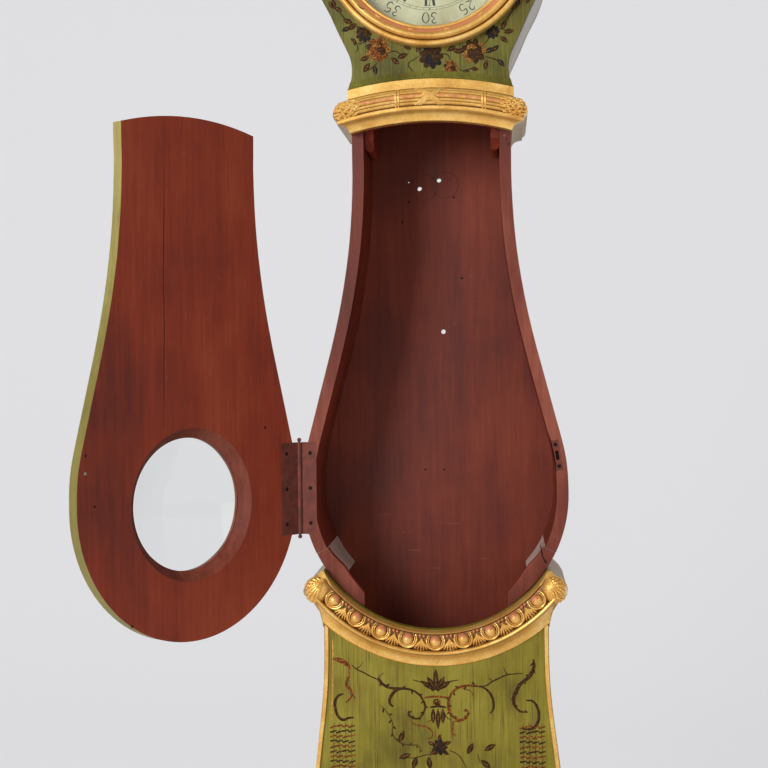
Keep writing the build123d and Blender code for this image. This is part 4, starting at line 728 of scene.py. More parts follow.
@dataclass
class Painting:
    """Brushwork a hair thick on a flat board.

    Coordinates are across and up on the board, in millimetres.
    """

    height: float = 0.22
    flat: float = 0.12
    strokes: dict[Tone, Cords] = field(default_factory=dict)
    dabs: bmesh.types.BMesh = field(default_factory=bmesh.new)

    def stroke(self, tone: Tone, points: Sequence[Point], *widths: float) -> None:
        """Draws one brush stroke of half widths from its start to its end."""
        cords = self.strokes.setdefault(tone, Cords(self.flat))
        cords.add([(x, z, self.height * 0.4) for x, z in points], widths or (1.0,))

    def dab(self, tone: Tone, at: Point, length: float, width: float, lean: float = 0.0,
            point: float = 1.0, lift: float = 0.0) -> None:
        """Lays one petal or leaf.

        Args:
            tone: Its tone.
            at: Its middle.
            length: From end to end.
            width: Across.
            lean: Degrees that its length is turned from level.
            point: How sharp its ends are, from 0 for an oval to 1.
            lift: How much higher it lies than those under it.
        """
        made = bmesh.ops.create_cone(
            self.dabs, cap_ends=True, segments=14, radius1=1.0, radius2=0.86, depth=1.0
        )["verts"]
        for vert in made:
            vert.co.y *= 1 - point * 0.75 * vert.co.x**2
        turn = Matrix.Rotation(math.radians(lean), 4, "Z")
        shape = Matrix.Diagonal((length / 2, width / 2, self.height, 1.0))
        place = Matrix.Translation((at[0], at[1], self.height * 0.4 + lift))
        bmesh.ops.transform(self.dabs, matrix=place @ turn @ shape, verts=made)
        for face in {face for vert in made for face in vert.link_faces}:
            face.material_index = tone.value

    def spray(self, tone: Tone, points: Sequence[Point], count: int, size: float,
              splay: float = 42.0) -> None:
        """Sets leaflets along a line.

        Args:
            tone: Their tone.
            points: The line.
            count: How many.
            size: Length of the largest; they shrink toward the end.
            splay: Degrees they stand off the line, on alternate sides.
        """
        for k in range(count):
            share = (k + 0.5) / count
            x, z, heading = along(points, share)
            side = 1 if k % 2 else -1
            length = size * (1 - 0.45 * share)
            lean = heading + side * splay
            turn = math.radians(lean)
            middle = (x + math.cos(turn) * length * 0.45, z + math.sin(turn) * length * 0.45)
            self.dab(tone, middle, length, length * 0.42, lean, 0.8, 0.01 * k)

    def leaf(self, at: Point, length: float, width: float, lean: float,
             tone: Tone = Tone.UMBER) -> None:
        """Lays a leaf with a lighter vein."""
        self.dab(tone, at, length, width, lean)
        turn = math.radians(lean)
        reach = length * 0.36
        ends = [(at[0] - reach * math.cos(turn), at[1] - reach * math.sin(turn)), at,
                (at[0] + reach * math.cos(turn), at[1] + reach * math.sin(turn))]
        cords = self.strokes.setdefault(Tone.BRONZE, Cords(self.flat))
        cords.add([(x, z, self.height * 0.9) for x, z in ends], (0.2, 0.38, 0.15))

    def rose(self, at: Point, size: float, tone: Tone, heart: Tone) -> None:
        """Lays a round flower of three rings of petals."""
        for ring, (count, share, lift) in enumerate(((9, 0.66, 0.0), (7, 0.42, 0.1), (4, 0.2, 0.2))):
            for k in range(count):
                turn = math.tau * (k + 0.5 * ring) / count
                reach = size * share / 2
                middle = (at[0] + math.cos(turn) * reach, at[1] + math.sin(turn) * reach)
                use = (tone, heart, tone, Tone.UMBER, heart)[(k * 2 + ring) % 5]
                lean = math.degrees(turn) + 90 * (ring % 2)
                self.dab(use, middle, size * 0.34, size * 0.26, lean, 0.35, lift + 0.03 * k)

    def piece(self, name: str, body: Body, slot: Slot, box: Paintbox,
              place: Matrix) -> bpy.types.Object:
        """Fixes the painting to its board.

        Args:
            name: The piece's name.
            body: What it rides on.
            slot: Not used.
            box: The finishes.
            place: Takes across, up and out of the board to the clock's frame, in millimetres.

        Returns:
            The piece.
        """
        bm = self.dabs
        for tone, cords in self.strokes.items():
            count = len(bm.faces)
            bm.from_mesh(cords.mesh())
            bm.faces.ensure_lookup_table()
            for face in bm.faces[count:]:
                face.material_index = tone.value
        bmesh.ops.transform(bm, matrix=place, verts=bm.verts)
        mesh = settle(name, bm, 50)
        return link(name, mesh, body, box.palette)


def board_frame(y: float, out: int = -1) -> Matrix:
    """Across, up and out for a board at depth y that looks forward, or backward where out is 1."""
    return Matrix(((1, 0, 0, 0), (0, 0, out, y), (0, 1, 0, 0), (0, 0, 0, 1)))


THIN = 0.12
DOOR_PIN = Vector((-224.0, -100.25, 0.0))
DOOR_OPEN = 130.5


def door_turn() -> Matrix:
    """Takes a point of the closed door to where it rests, open, in millimetres."""
    turn = Matrix.Rotation(math.radians(-DOOR_OPEN), 4, "Z")
    return Matrix.Translation(DOOR_PIN) @ turn @ Matrix.Translation(-DOOR_PIN)


@dataclass
class Joinery:
    """Planed and worn copies of the clock's boards; edges over sharp degrees are softened."""

    sharp: float = 34.0
    smooth_below: float = 28.0

    def worked(self, name: str, node: str, body: Body, slot: Slot,
               finishes: Sequence[bpy.types.Material], choose: Callable[[Vector, Vector], int],
               arris: float) -> bpy.types.Object:
        """Copies a node's solid, softens its arrises and paints it face by face.

        Args:
            name: The new piece's name.
            node: The node that it stands for.
            body: What it rides on.
            slot: Not used.
            finishes: Its materials.
            choose: Gives a face's material number from its middle, in millimetres, and its normal.
            arris: Width of the softened arris in millimetres.

        Returns:
            The piece.
        """
        bm = bmesh.new()
        bm.from_mesh(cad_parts[node].data)
        bmesh.ops.scale(bm, vec=(1 / MM, 1 / MM, 1 / MM), verts=bm.verts)
        bmesh.ops.remove_doubles(bm, verts=bm.verts, dist=0.01)
        bmesh.ops.dissolve_limit(bm, angle_limit=math.radians(0.8), verts=bm.verts, edges=bm.edges)
        bm.normal_update()
        for face in bm.faces:
            face.material_index = choose(face.calc_center_median(), face.normal)
        least = math.radians(self.sharp)
        edges = [e for e in bm.edges if len(e.link_faces) == 2 and e.calc_face_angle(0) > least]
        bmesh.ops.bevel(
            bm, geom=edges, offset=arris, offset_type="OFFSET", segments=2, profile=0.5, affect="EDGES",
            clamp_overlap=True, material=-1,
        )
        piece = link(name, settle(name, bm, self.smooth_below), body, finishes)
        even = piece.modifiers.new("even_faces", "WEIGHTED_NORMAL")
        even.keep_sharp = True
        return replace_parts(piece, node)


class Face(Enum):
    """Which side of a board a face lies on; the values number a board's finishes."""

    INSIDE = 0
    FRONT = 1
    OUTSIDE = 2


def outward(centre: Vector, normal: Vector) -> int:
    """Sorts the faces of a board at the clock's left or right."""
    if normal.y < -0.8:
        return Face.FRONT.value
    return Face.OUTSIDE.value if normal.x * math.copysign(1, centre.x) > 0.3 else Face.INSIDE.value


# ---------------------------------------------------------------- boards of the case
@dataclass
class Carcase:
    """The pear-shaped waist, the base and the boards behind them."""

    box: Paintbox
    joinery: Joinery
    rubbed_below: float = 808.0
    plinth_end: float = 240.0
    moulding_end: float = 238.0

    def build(self) -> None:
        """Makes the case's boards and finishes the pieces that are shown as they are."""
        self.waist()
        self.base()
        self.plain_nodes()

    def waist(self) -> None:
        """Side boards, rims and back."""
        box = self.box
        # Painted shade: the inside faces take the red's darker copy.
        finishes = [box.red_shaded_inside, box.red_worn, box.side, box.grey_worn]
        for node in ("waist_side_left", "waist_side_right"):
            self.joinery.worked(
                f"worn_{node}", node, Body.CASE, Slot.RED, finishes, self.side_face, 1.1
            )
        finishes = [box.red, box.red_worn, box.side]
        self.joinery.worked("worn_rims", "waist_rims", Body.CASE, Slot.RED, finishes, outward, 1.6)

        def back_face(centre: Vector, normal: Vector) -> int:
            """Red with painted shade in front, bare pine behind."""
            return 1 if normal.y > 0.5 else 0

        finishes = [box.red_shaded_inside, box.pine]
        self.joinery.worked("worn_back", "back_board", Body.CASE, Slot.RED, finishes, back_face, 0.5)

    def side_face(self, centre: Vector, normal: Vector) -> int:
        """Sorts a side board's faces; its foot is rubbed grey inside."""
        kind = outward(centre, normal)
        if kind == Face.INSIDE.value and centre.z < self.rubbed_below and normal.z > -0.9:
            return 3
        return kind

    def base(self) -> None:
        """The base's panel, sides, edge beads and the plinth."""
        box = self.box

        def panel_face(centre: Vector, normal: Vector) -> int:
            """Green in front and on the edges, red behind."""
            return 1 if normal.y > 0.5 else 0

        finishes = [box.green, box.red]
        self.joinery.worked(
            "painted_panel", "base_front", Body.CASE, Slot.GREEN, finishes, panel_face, 0.8
        )
        finishes = [box.red, box.red, box.side]
        self.joinery.worked(
            "painted_base_sides", "base_sides", Body.CASE, Slot.PALE, finishes, outward, 0.6
        )
        self.joinery.worked(
            "gilt_edge_beads", "base_beads", Body.CASE, Slot.GILT, [box.gilt_worn], lambda c, n: 0, 1.35
        )

        def plinth_face(centre: Vector, normal: Vector) -> int:
            """Green in front, pale at the sides."""
            if normal.y < -0.3:
                return 0
            return 1 if abs(normal.x) > 0.5 and abs(centre.x) > self.plinth_end else 2

        finishes = [box.green, box.side, box.pine]
        self.joinery.worked(
            "painted_plinth", "plinth", Body.CASE, Slot.GREEN, finishes, plinth_face, 1.4
        )

        def moulding_face(centre: Vector, normal: Vector) -> int:
            """Gilt, but for its pale ends."""
            return 1 if abs(normal.x) > 0.5 and abs(centre.x) > self.moulding_end else 0

        finishes = [box.gilt, box.side]
        self.joinery.worked(
            "gilt_plinth_moulding", "plinth_moulding", Body.CASE, Slot.GILT, finishes,
            moulding_face, 1.2,
        )

    def plain_nodes(self) -> None:
        """Finishes for the pieces whose solid is shown as it is."""
        box = self.box
        for finish, names in (
            (box.red, ("neck_rail", "seat_cheeks")),
            (box.pine, ("seat_board", "base_floor", "belly_blocks")),
            (box.brass, (
                "front_plate", "back_plate", "back_cock", "bell", "cannon_wheel", "hour_wheel",
                "minute_wheel", "escape_wheel", "third_wheel", "centre_wheel", "going_wheel",
                "going_barrel", "fly", "pin_wheel", "strike_wheel", "strike_barrel", "escutcheon",
                "bezel_hinge_leaf",
            )),
            (box.steel, ("anchor", "hammer", "bell_stand", "lock_bolt", "hour_hand", "minute_hand")),
            (box.iron, (
                "strike_plate", "hinge_pin", "hinge_case_leaf", "hinge_door_leaf", "lock_case",
            )),
            (box.mark, ("case_screws", "hinge_door_screws")),
            (box.glass, ("door_lens", "dial_glass")),
            (box.dial, ("dial_plate",)),
        ):
            for name in names:
                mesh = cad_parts[name].data
                mesh.materials.clear()
                mesh.materials.append(finish)
        for name in ("door_lens", "dial_glass"):
            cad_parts[name].visible_shadow = False


# ---------------------------------------------------------------- door
@dataclass
class Door:
    """The pear-shaped door, open, with its round window."""

    box: Paintbox
    joinery: Joinery
    window_z: float = 895.0
    reveal_reach: float = 125.0

    def build(self) -> None:
        """Makes the door's board and the ring of its window."""
        back = door_turn().inverted()

        def door_face(centre: Vector, normal: Vector) -> int:
            """Red inside and in the window's reveal, green outside, worn edges."""
            normal = back.to_3x3() @ normal
            place = back @ centre
            if normal.y > 0.9:
                return 0
            if normal.y < -0.9:
                return 1
            near = math.hypot(place.x, place.z - self.window_z)
            return 3 if near < self.reveal_reach else 2

        box = self.box
        finishes = [box.red, box.green, box.edge, box.red_worn]
        self.joinery.worked("worn_door", "door_board", Body.DOOR, Slot.RED, finishes, door_face, 1.0)

        def ring_face(centre: Vector, normal: Vector) -> int:
            """Gilt in front, red where it shows through the window."""
            normal = back.to_3x3() @ normal
            place = back @ centre
            inward = normal.x * place.x + normal.z * (place.z - self.window_z) < 0
            return 1 if normal.y > -0.2 and (inward or normal.y > 0.5) else 0

        finishes = [box.gilt, box.red_worn]
        self.joinery.worked(
            "gilt_window_ring", "door_lens_ring", Body.DOOR, Slot.GILT, finishes, ring_face, 0.5
        )


# ---------------------------------------------------------------- hood
@dataclass
class Hood:
    """The hood's front, sides, crown and crest."""

    box: Paintbox
    joinery: Joinery
    head_z: float = 1802.0

    def build(self) -> None:
        """Makes the hood's boards and its carving."""
        box = self.box

        def front_face(centre: Vector, normal: Vector) -> int:
            """Green in front, darker at the cut edges, bare behind."""
            if normal.y < -0.8:
                return 0
            return 2 if normal.y > 0.8 else 1

        finishes = [box.hood_green, box.edge_dark, box.pine]
        self.joinery.worked(
            "painted_hood_front", "hood_front", Body.HOOD, Slot.GREEN, finishes, front_face, 0.9
        )

        def shell_face(centre: Vector, normal: Vector) -> int:
            """Pale outside, bare inside."""
            out = Vector((centre.x, 0, max(centre.z - self.head_z, 0) + 0.001)).normalized()
            return 0 if normal.dot(out) > 0.15 else 1

        for node, name in (("hood_sides", "painted_hood_sides"), ("hood_crown", "painted_hood_crown")):
            self.joinery.worked(name, node, Body.HOOD, Slot.PALE, [box.side, box.pine], shell_face, 0.5)
        for node, name, arris in (("crown_moulding", "gilt_crown", 2.2), ("crest", "gilt_crest", 3.0)):
            self.joinery.worked(name, node, Body.HOOD, Slot.GILT, [box.gilt], lambda c, n: 0, arris)


# ---------------------------------------------------------------- gilt mouldings
@dataclass
class UpperMoulding:
    """The arched moulding under the hood: reeds with a crossed ribbon, corner leaves, a cavetto."""

    box: Paintbox
    arc: Arc = Arc(1013.0, -120.0)
    half: float = 131.8
    inner: float = 495.0
    outer: float = 547.0
    thick: float = 19.4
    hull_middle: Point = (530.6, 7.2)
    hull_size: Point = (16.6, 18.6)
    reeds: tuple[tuple[float, float, float], ...] = (
        (543.8, 1.9, 0.05), (539.4, 2.4, 0.2), (532.8, 4.1, 0.62), (526.2, 2.4, 0.45), (521.2, 2.5, 0.1)
    )
    clasps: tuple[float, ...] = (-53.0, 88.0)
    leaf_start: float = 113.0
    leaf_steps: tuple[float, ...] = (7.0, 2.0, 5.0, 0.0, 4.0, 1.0, 6.0)

    def hull(self, radius: float) -> float:
        """Depth of the reed bundle's rounded envelope at a radius."""
        share = max(0.0, 1 - ((radius - self.hull_middle[0]) / self.hull_size[0]) ** 2)
        return self.hull_middle[1] + self.hull_size[1] * math.sqrt(share)

    def section(self) -> list[Station]:
        """The front's section, from the cavetto up to the top of the reeds."""
        stations = [Station(self.inner, -0.2), Station(self.inner, 0.8)]
        for k in range(9):
            share = k / 8
            turn = share * math.pi / 2
            radius = 496.0 + 14.4 * math.sin(turn) ** 1.3
            stations.append(Station(radius, 1.4 + 15.8 * (1 - math.cos(turn)), 0.0, share**3 * 0.5))
        stations += [
            Station(511.2, 17.4, 0, 0.5), Station(511.3, 19.2), Station(512.0, 19.9),
            Station(516.2, 19.9), Station(517.0, 19.0, 0, 0.7), Station(517.6, 17.6, 0, 1.0),
        ]
        for radius, size, rub in reversed(self.reeds):
            for k in range(7):
                turn = math.pi * k / 6
                place = radius - size * math.cos(turn)
                rise = math.sin(turn)
                base = self.hull(radius) - size * 0.9
                depth = base + (self.hull(place) - self.hull(radius)) * 0.7 + rise * size * 0.9
                # Deep at each reed's foot paints dirt and shade in the grooves between the reeds.
                stations.append(Station(place, depth, rub * (0.4 + 0.6 * rise), 0.9 * (1 - rise) ** 2))
        stations += [Station(self.outer - 0.4, 2.0, 0, 0.6), Station(self.outer - 0.4, -0.2)]
        return stations

    def build(self) -> bpy.types.Object:
        """Makes the moulding."""
        bm = self.arc.spun(self.section(), -20, 20, 96)
        self.ribbon(bm)
        self.leaves(bm)
        for side in (-1, 1):
            trimmed(bm, (side * self.half, self.arc.plane_y, 0), (side, 1, 0))
        corners = [Station(self.inner, -self.thick), Station(self.inner, 0.0)]
        corners += [Station(self.outer, 0.0), Station(self.outer, -self.thick)]
        back = self.arc.spun(corners, -20, 20, 60)
        for side in (-1, 1):
            trimmed(back, (side * self.half, self.arc.plane_y, 0), (side, 0, 0))
        join(bm, back)
        mesh = settle("gilt_reed_moulding", bm)
        piece = link("gilt_reed_moulding", mesh, Body.CASE, [self.box.gilt])
        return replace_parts(piece, "upper_moulding")

    def on_hull(self, across: float, radius: float, proud: float) -> Vector:
        """A point on the reed bundle, so far across the moulding's middle."""
        return self.arc.at(radius, math.degrees(across / radius), self.hull(radius) + proud)

    def ribbon(self, bm: bmesh.types.BMesh) -> None:
        """Binds the reeds with a crossed ribbon in the middle and narrow clasps beside it."""
        cords = Cords()
        count = 9
        for lean in (-1, 1):
            for lane in (-1.5, -0.5, 0.5, 1.5):
                points = []
                for k in range(count):
                    share = k / (count - 1)
                    radius = 518.5 + 27.2 * share
                    weave = 0.5 * math.sin(share * math.pi * 7 + lane * math.pi)
                    across = lean * (share - 0.5) * 38 + lane * 3.3
                    points.append(self.on_hull(across, radius, 0.2 + (weave if lean > 0 else -weave)))
                cords.add(points, (1.5, 1.9, 1.5))
        for across in self.clasps:
            for shift in (-2.3, 2.3):
                points = [self.on_hull(across + shift, 517.5 + 28 * k / 8, -0.4) for k in range(9)]
                cords.add(points, (1.5, 1.9, 1.5))
        bm.from_mesh(cords.mesh())

    def leaves(self, bm: bmesh.types.BMesh) -> None:
        """Wraps each end of the reeds in a leaf of wavy ridges and small lobes."""
        cords = Cords()
        for side in (-1, 1):
            for lane in range(7):
                start = self.leaf_start + self.leaf_steps[lane]
                points = []
                for k in range(9):
                    across = start + (152 - start) * k / 8
                    radius = 517.8 + 3.85 * lane + 1.3 * math.sin(k * 1.9 + lane * 2.3)
                    rise = 0.3 + 0.5 * math.sin(k * 2.4 + lane)
                    points.append(self.on_hull(side * across, radius, rise))
                cords.add(points, (0.7, 2.3, 1.4, 2.5, 1.6, 2.4, 1.5, 2.2, 1.6))
            for k in range(26):
                across = 122 + 1.2 * k
                radius = 518.5 + (k * 9.7) % 25
                place = self.on_hull(side * across, radius, 1.5)
                along_leaf = Vector((side * 1.0, 0, 0.6 * math.sin(k * 1.7)))
                lean = facing(place, Vector((side * 0.2, -1, 0)), along_leaf)
                ball(bm, lean, (1.5, 1.3, 2.9), 0.1, 0.0, 8)
        bm.from_mesh(cords.mesh())


def join(bm: bmesh.types.BMesh, other: bmesh.types.BMesh) -> None:
    """Adds the other edit mesh to the first and frees it."""
    mesh = bpy.data.meshes.new("joined")
    other.to_mesh(mesh)
    other.free()
    bm.from_mesh(mesh)
    bpy.data.meshes.remove(mesh)


@dataclass
class LowerMoulding:
    """The round moulding under the belly: egg and leaf, a fillet, a broad plain cavetto."""

    box: Paintbox
    arc: Arc = Arc(895.0, -120.0, -1)
    half: float = 184.0
    inner: float = 220.3
    crest: float = 235.6
    egg_radius: float = 234.6
    outer: float = 278.0
    step: float = 11.1
    floor: float = 772.0
    eased: Point = (5.8, 0.575)
    block_at: tuple[float, float, float] = (193.5, 13.0, 743.0)
    block: tuple[float, float, float] = (21.0, 15.6, 22.0)

    def ground(self, radius: float) -> float:
        """Depth of the hollow that the eggs and leaves stand in."""
        share = max(0.0, 1 - ((radius - self.crest) / 17.5) ** 2)
        return 9.0 + 9.5 * math.sqrt(share)

    def proud(self, place: Vector, lift: float) -> Vector:
        """A point on the course raised by lift, kept under the swinging door."""
        radius = math.hypot(place.x, place.z - self.arc.centre_z)
        limit = self.eased[0] + self.eased[1] * max(0.0, self.floor - 1 - place.z) - 1.5
        depth = max(2.0, min(self.ground(radius) + lift, limit))
        return Vector((place.x, self.arc.plane_y - depth, place.z))

    def section(self) -> list[Station]:
        """The section from the panel's edge down to the cavetto's foot."""
        r = self.inner
        stations = [
            Station(r, 0.1), Station(r, 6.0), Station(r + 0.7, 12.5), Station(r + 1.6, 17.0),
            Station(r + 3.0, 18.4), Station(r + 4.0, 17.4, 0, 0.4), Station(r + 4.6, 14.5, 0.3, 1.0),
        ]
        # The eggs' hollow ground gets deep 0.85: dirt and painted shade.
        for k in range(9):
            radius = r + 5.4 + 23.8 * k / 8
            stations.append(Station(radius, self.ground(radius), 0.15, 0.85))
        # Deep up to 1.0 under the bead paints dirt and the bead's shade on the cavetto's top.
        stations += [
            Station(250.4, 20.0, 0, 0.9), Station(251.0, 24.5, 0, 0.2), Station(252.0, 27.2),
            Station(253.8, 28.2), Station(255.6, 27.2), Station(256.3, 24.5, 0.3, 0.5),
            Station(256.6, 21.5, 0.2, 1.0),
        ]
        for k in range(13):
            share = k / 12
            depth = 1.8 + 18.6 * (1 - share) ** 2.3
            radius = 257.0 + (self.outer - 258.4) * share
            stations.append(Station(radius, depth, 0, 0.8 * (1 - share) ** 4))
        stations += [Station(self.outer - 0.5, 2.4), Station(self.outer, 1.6), Station(self.outer, 0.1)]
        return stations

    def build(self) -> bpy.types.Object:
        """Makes the moulding."""
        bm = self.arc.spun(self.section(), -58, 58, 200)
        for side in (-1, 1):
            trimmed(bm, (side * self.half, self.arc.plane_y, 0), (side, 1, 0))
        trimmed(bm, (0, 0, self.floor), (0, 0, 1))
        trimmed(bm, (0, self.arc.plane_y - self.eased[0], self.floor - 1), (0, -1, self.eased[1]))
        for k in range(-4, 5):
            self.egg(bm, k * self.step)
        for k in range(-4, 4):
            self.fan(bm, (k + 0.5) * self.step)
        for side in (-1, 1):
            self.corner(bm, side)
        mesh = settle("gilt_egg_moulding", bm)
        piece = link("gilt_egg_moulding", mesh, Body.CASE, [self.box.gilt])
        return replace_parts(piece, "lower_moulding")

    def frame_at(self, radius: float, degrees: float, depth: float) -> Matrix:
        """A frame on the moulding: Y looks forward, Z runs up toward the belly's centre."""
        place = self.arc.at(radius, degrees, depth)
        centre = Vector((0, place.y, self.arc.centre_z))
        return facing(place, Vector((0, -1, 0)), centre - place)

    def egg(self, bm: bmesh.types.BMesh, degrees: float) -> None:
        """One egg in its double-rimmed cup."""
        ball(
            bm, self.frame_at(self.egg_radius, degrees, 21.0), (8.9, 9.8, 9.9),
            lambda co: max(0.0, min(0.95, 0.42 + 0.75 * co.z)), 0.0, 24,
        )
        cords = Cords()
        for reach, size, lift in ((11.3, 0.95, 4.6), (14.3, 1.55, 6.4)):
            points = []
            for k in range(15):
                turn = math.radians(-38 + 256 * k / 14)
                across = math.cos(turn) * reach
                down = math.sin(turn) * reach * 0.98
                radius = self.egg_radius - 0.6 + down
                flat = self.arc.at(radius, degrees + math.degrees(across / radius), 0)
                points.append(self.proud(flat, lift if down > -4 else lift - 1.5))
            cords.add(points, (size * 0.6, size, size * 1.1, size, size * 0.6))
        bm.from_mesh(cords.mesh())

    def fan(self, bm: bmesh.types.BMesh, degrees: float) -> None:
        """The leaf between two cups: a dark curled head and a foot of fluted lobes."""
        for k in range(-3, 4):
            spread = k * 1.12
            flat = self.arc.at(249.2 - abs(k) * 0.9, degrees + spread, 0)
            foot = self.proud(flat, 4.5 - abs(k) * 0.5)
            head = self.proud(self.arc.at(230.5 + abs(k) * 2.2, degrees + spread * 0.22, 0), 4.0)
            lean = facing((foot + head) / 2, Vector((0, -1, 0)), foot - head)
            ball(bm, lean, (1.75, 2.9, (foot - head).length / 2 + 1.2), 0.1, 0.0, 8)
            ball(bm, Matrix.Translation(foot), (1.9, 2.6, 1.9), 0.0, 0.0, 8)
        for k in (-1, 1):
            curl = self.proud(self.arc.at(226.8, degrees + k * 0.75, 0), 3.0)
            ball(bm, Matrix.Translation(curl), (2.5, 3.2, 2.7), 1.0, 0.35, 8)

    def corner(self, bm: bmesh.types.BMesh, side: int) -> None:
        """A round block over the mitre, wrapped in an acanthus leaf that fans from its inner corner."""
        heart = Vector((side * self.block_at[0], self.arc.plane_y - self.block_at[1], self.block_at[2]))
        block = Vector(self.block)
        ball(bm, Matrix.Translation(heart), block, 0.05, 0.3, 32)
        root = (-0.62, 0.62)
        cords = Cords()
        for k in range(10):
            heading = math.radians(112 - 22 * k)
            target = (math.cos(heading) * 0.97, math.sin(heading) * 0.97)
            points = []
            for n in range(8):
                share = 0.12 + 0.88 * n / 7
                bend = 0.10 * math.sin(math.pi * share) * (1 if k > 4 else -1)
                across = root[0] + (target[0] - root[0]) * share + bend
                up = root[1] + (target[1] - root[1]) * share + bend
                out = math.sqrt(max(0.02, 1 - across**2 - up**2)) + 0.03
                points.append(heart + Vector((side * across * block.x, -out * block.y, up * block.z)))
            cords.add(points, (0.8, 1.6, 2.3, 1.5, 2.7, 1.8, 2.6, 1.4))
        bm.from_mesh(cords.mesh())
        for k in range(12):
            heading = math.radians(100 - 17 * k)
            reach = 0.60 + 0.24 * (k % 2)
            across, up = math.cos(heading) * reach, math.sin(heading) * reach
            out = math.sqrt(1 - across**2 - up**2)
            place = heart + Vector((side * across * block.x, -out * block.y - 1.2, up * block.z))
            ball(bm, Matrix.Translation(place), (1.9, 1.6, 1.9), 0.35 * (k % 3), 0.0, 8)


@dataclass
class Bezel:
    """The turned bezel: a bead, a flat of worn bole, a round, a groove and an outer round."""

    box: Paintbox
    arc: Arc = Arc(1802.0, -118.5)
    hinge: tuple[float, float, float] = (-182.0, -122.1, 1802.0)
    knuckle: float = 9.4
    knuckle_radius: float = 3.15
    knuckle_shift: float = 10.0
    pin_radius: float = 1.25
    pin_length: float = 30.0
    knot_count: int = 16
    knot_first: float = 191.25
    # Deep in the groove and at the bole flat's edges paints dirt and shade.
    section: tuple[Station, ...] = (
        Station(175.0, 0.0), Station(175.0, 6.0), Station(174.9, 10.0), Station(174.5, 14.0),
        Station(173.6, 17.0), Station(172.4, 18.6), Station(170.8, 19.6), Station(169.0, 19.9),
        Station(167.4, 19.2), Station(166.4, 18.2, 0, 0.3), Station(165.6, 16.6, 0, 0.9),
        Station(165.0, 16.0, 0, 1.0), Station(164.2, 17.4, 0, 0.9), Station(163.6, 20.0, 0, 0.4),
        Station(162.6, 22.8), Station(161.4, 24.8), Station(159.8, 25.8), Station(158.0, 25.9),
        Station(156.4, 25.1, 0.1), Station(155.0, 23.4, 0.2), Station(154.0, 21.2, 0.1, 0.3),
        Station(153.5, 19.6, 0.2, 0.6), Station(152.9, 19.0, 0.9, 0.2), Station(150.9, 18.3, 1.0),
        Station(148.8, 17.2, 1.0), Station(147.3, 15.7, 0.8, 0.3), Station(146.7, 14.7, 0.2, 0.8),
        Station(146.1, 14.9, 0, 0.4), Station(145.2, 15.5), Station(144.2, 15.6),
        Station(143.0, 15.3), Station(142.0, 14.4), Station(141.3, 13.2, 0, 0.3),
        Station(141.05, 12.0, 0, 0.5), Station(141.0, 7.0), Station(147.0, 7.0),
        Station(147.0, 0.0),
    )

    def build(self) -> bpy.types.Object:
        """Makes the ring with its knuckles."""
        bm = self.arc.spun(self.section, 0, 360, 240)
        hinge = Vector(self.hinge)
        rods = [(self.knuckle_radius, self.knuckle, 20, side * self.knuckle_shift) for side in (-1, 1)]
        for radius, length, segments, rise in rods + [(self.pin_radius, self.pin_length, 16, 0.0)]:
            made = bmesh.ops.create_cone(
                bm, cap_ends=True, segments=segments, radius1=radius, radius2=radius, depth=length
            )
            bmesh.ops.translate(bm, verts=made["verts"], vec=hinge + Vector((0, 0, rise)))
        for side in (-1, 1):
            made = bmesh.ops.create_cube(bm, size=1.0)
            place = Matrix.Translation(hinge + Vector((5, -1, side * self.knuckle_shift)))
            shape = Matrix.Diagonal((10, 2, self.knuckle, 1))
            bmesh.ops.transform(bm, matrix=place @ shape, verts=made["verts"])
        self.knots(bm)
        piece = link("gilt_bezel", settle("gilt_bezel", bm), Body.BEZEL, [self.box.gilt])
        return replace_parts(piece, "bezel_ring")

    def knots(self, bm: bmesh.types.BMesh) -> None:
        """Lays small crossed ribbons on the flat of bole."""
        cords = Cords()
        for k in range(self.knot_count):
            middle = self.knot_first + 360 / self.knot_count * k
            for lean in (-1, 1):
                points = []
                for n in range(7):
                    share = n / 6 - 0.5
                    radius = 150.4 + lean * 4.6 * share
                    points.append(self.arc.at(radius, middle + 4.4 * share, 18.6 - abs(share) * 0.8))
                cords.add(points, (0.5, 0.95, 0.5))
        bm.from_mesh(cords.mesh())


@dataclass
class Returns:
    """The mouldings' plain side returns and the band above the upper one."""

    box: Paintbox
    joinery: Joinery
    arch_z: float = 1013.0
    band_radius: float = 563.5
    hollow: float = 13.5
    narrowing: float = 0.032

    def build(self) -> None:
        """Makes the returns and the band."""
        box = self.box
        self.joinery.worked(
            "painted_returns", "moulding_returns", Body.CASE, Slot.PALE, [box.beige],
            lambda centre, normal: 0, 0.8,
        )

        def band_face(centre: Vector, normal: Vector) -> int:
            """Gilt on the band, green on the hollow above it."""
            return 1 if math.hypot(centre.x, centre.z - self.arch_z) > self.band_radius - 0.1 else 0

        finishes = [box.gilt_band, box.hood_green]
        band = self.joinery.worked(
            "gilt_band", "hood_fillet", Body.HOOD, Slot.GILT, finishes, band_face, 0.5
        )
        for vert in band.data.vertices:
            radius = math.hypot(vert.co.x, vert.co.z - self.arch_z * MM)
            share = (radius - self.band_radius * MM) / (self.hollow * MM)
            if share > 0:
                vert.co.x *= 1 - self.narrowing * min(1.0, share) ** 0.6


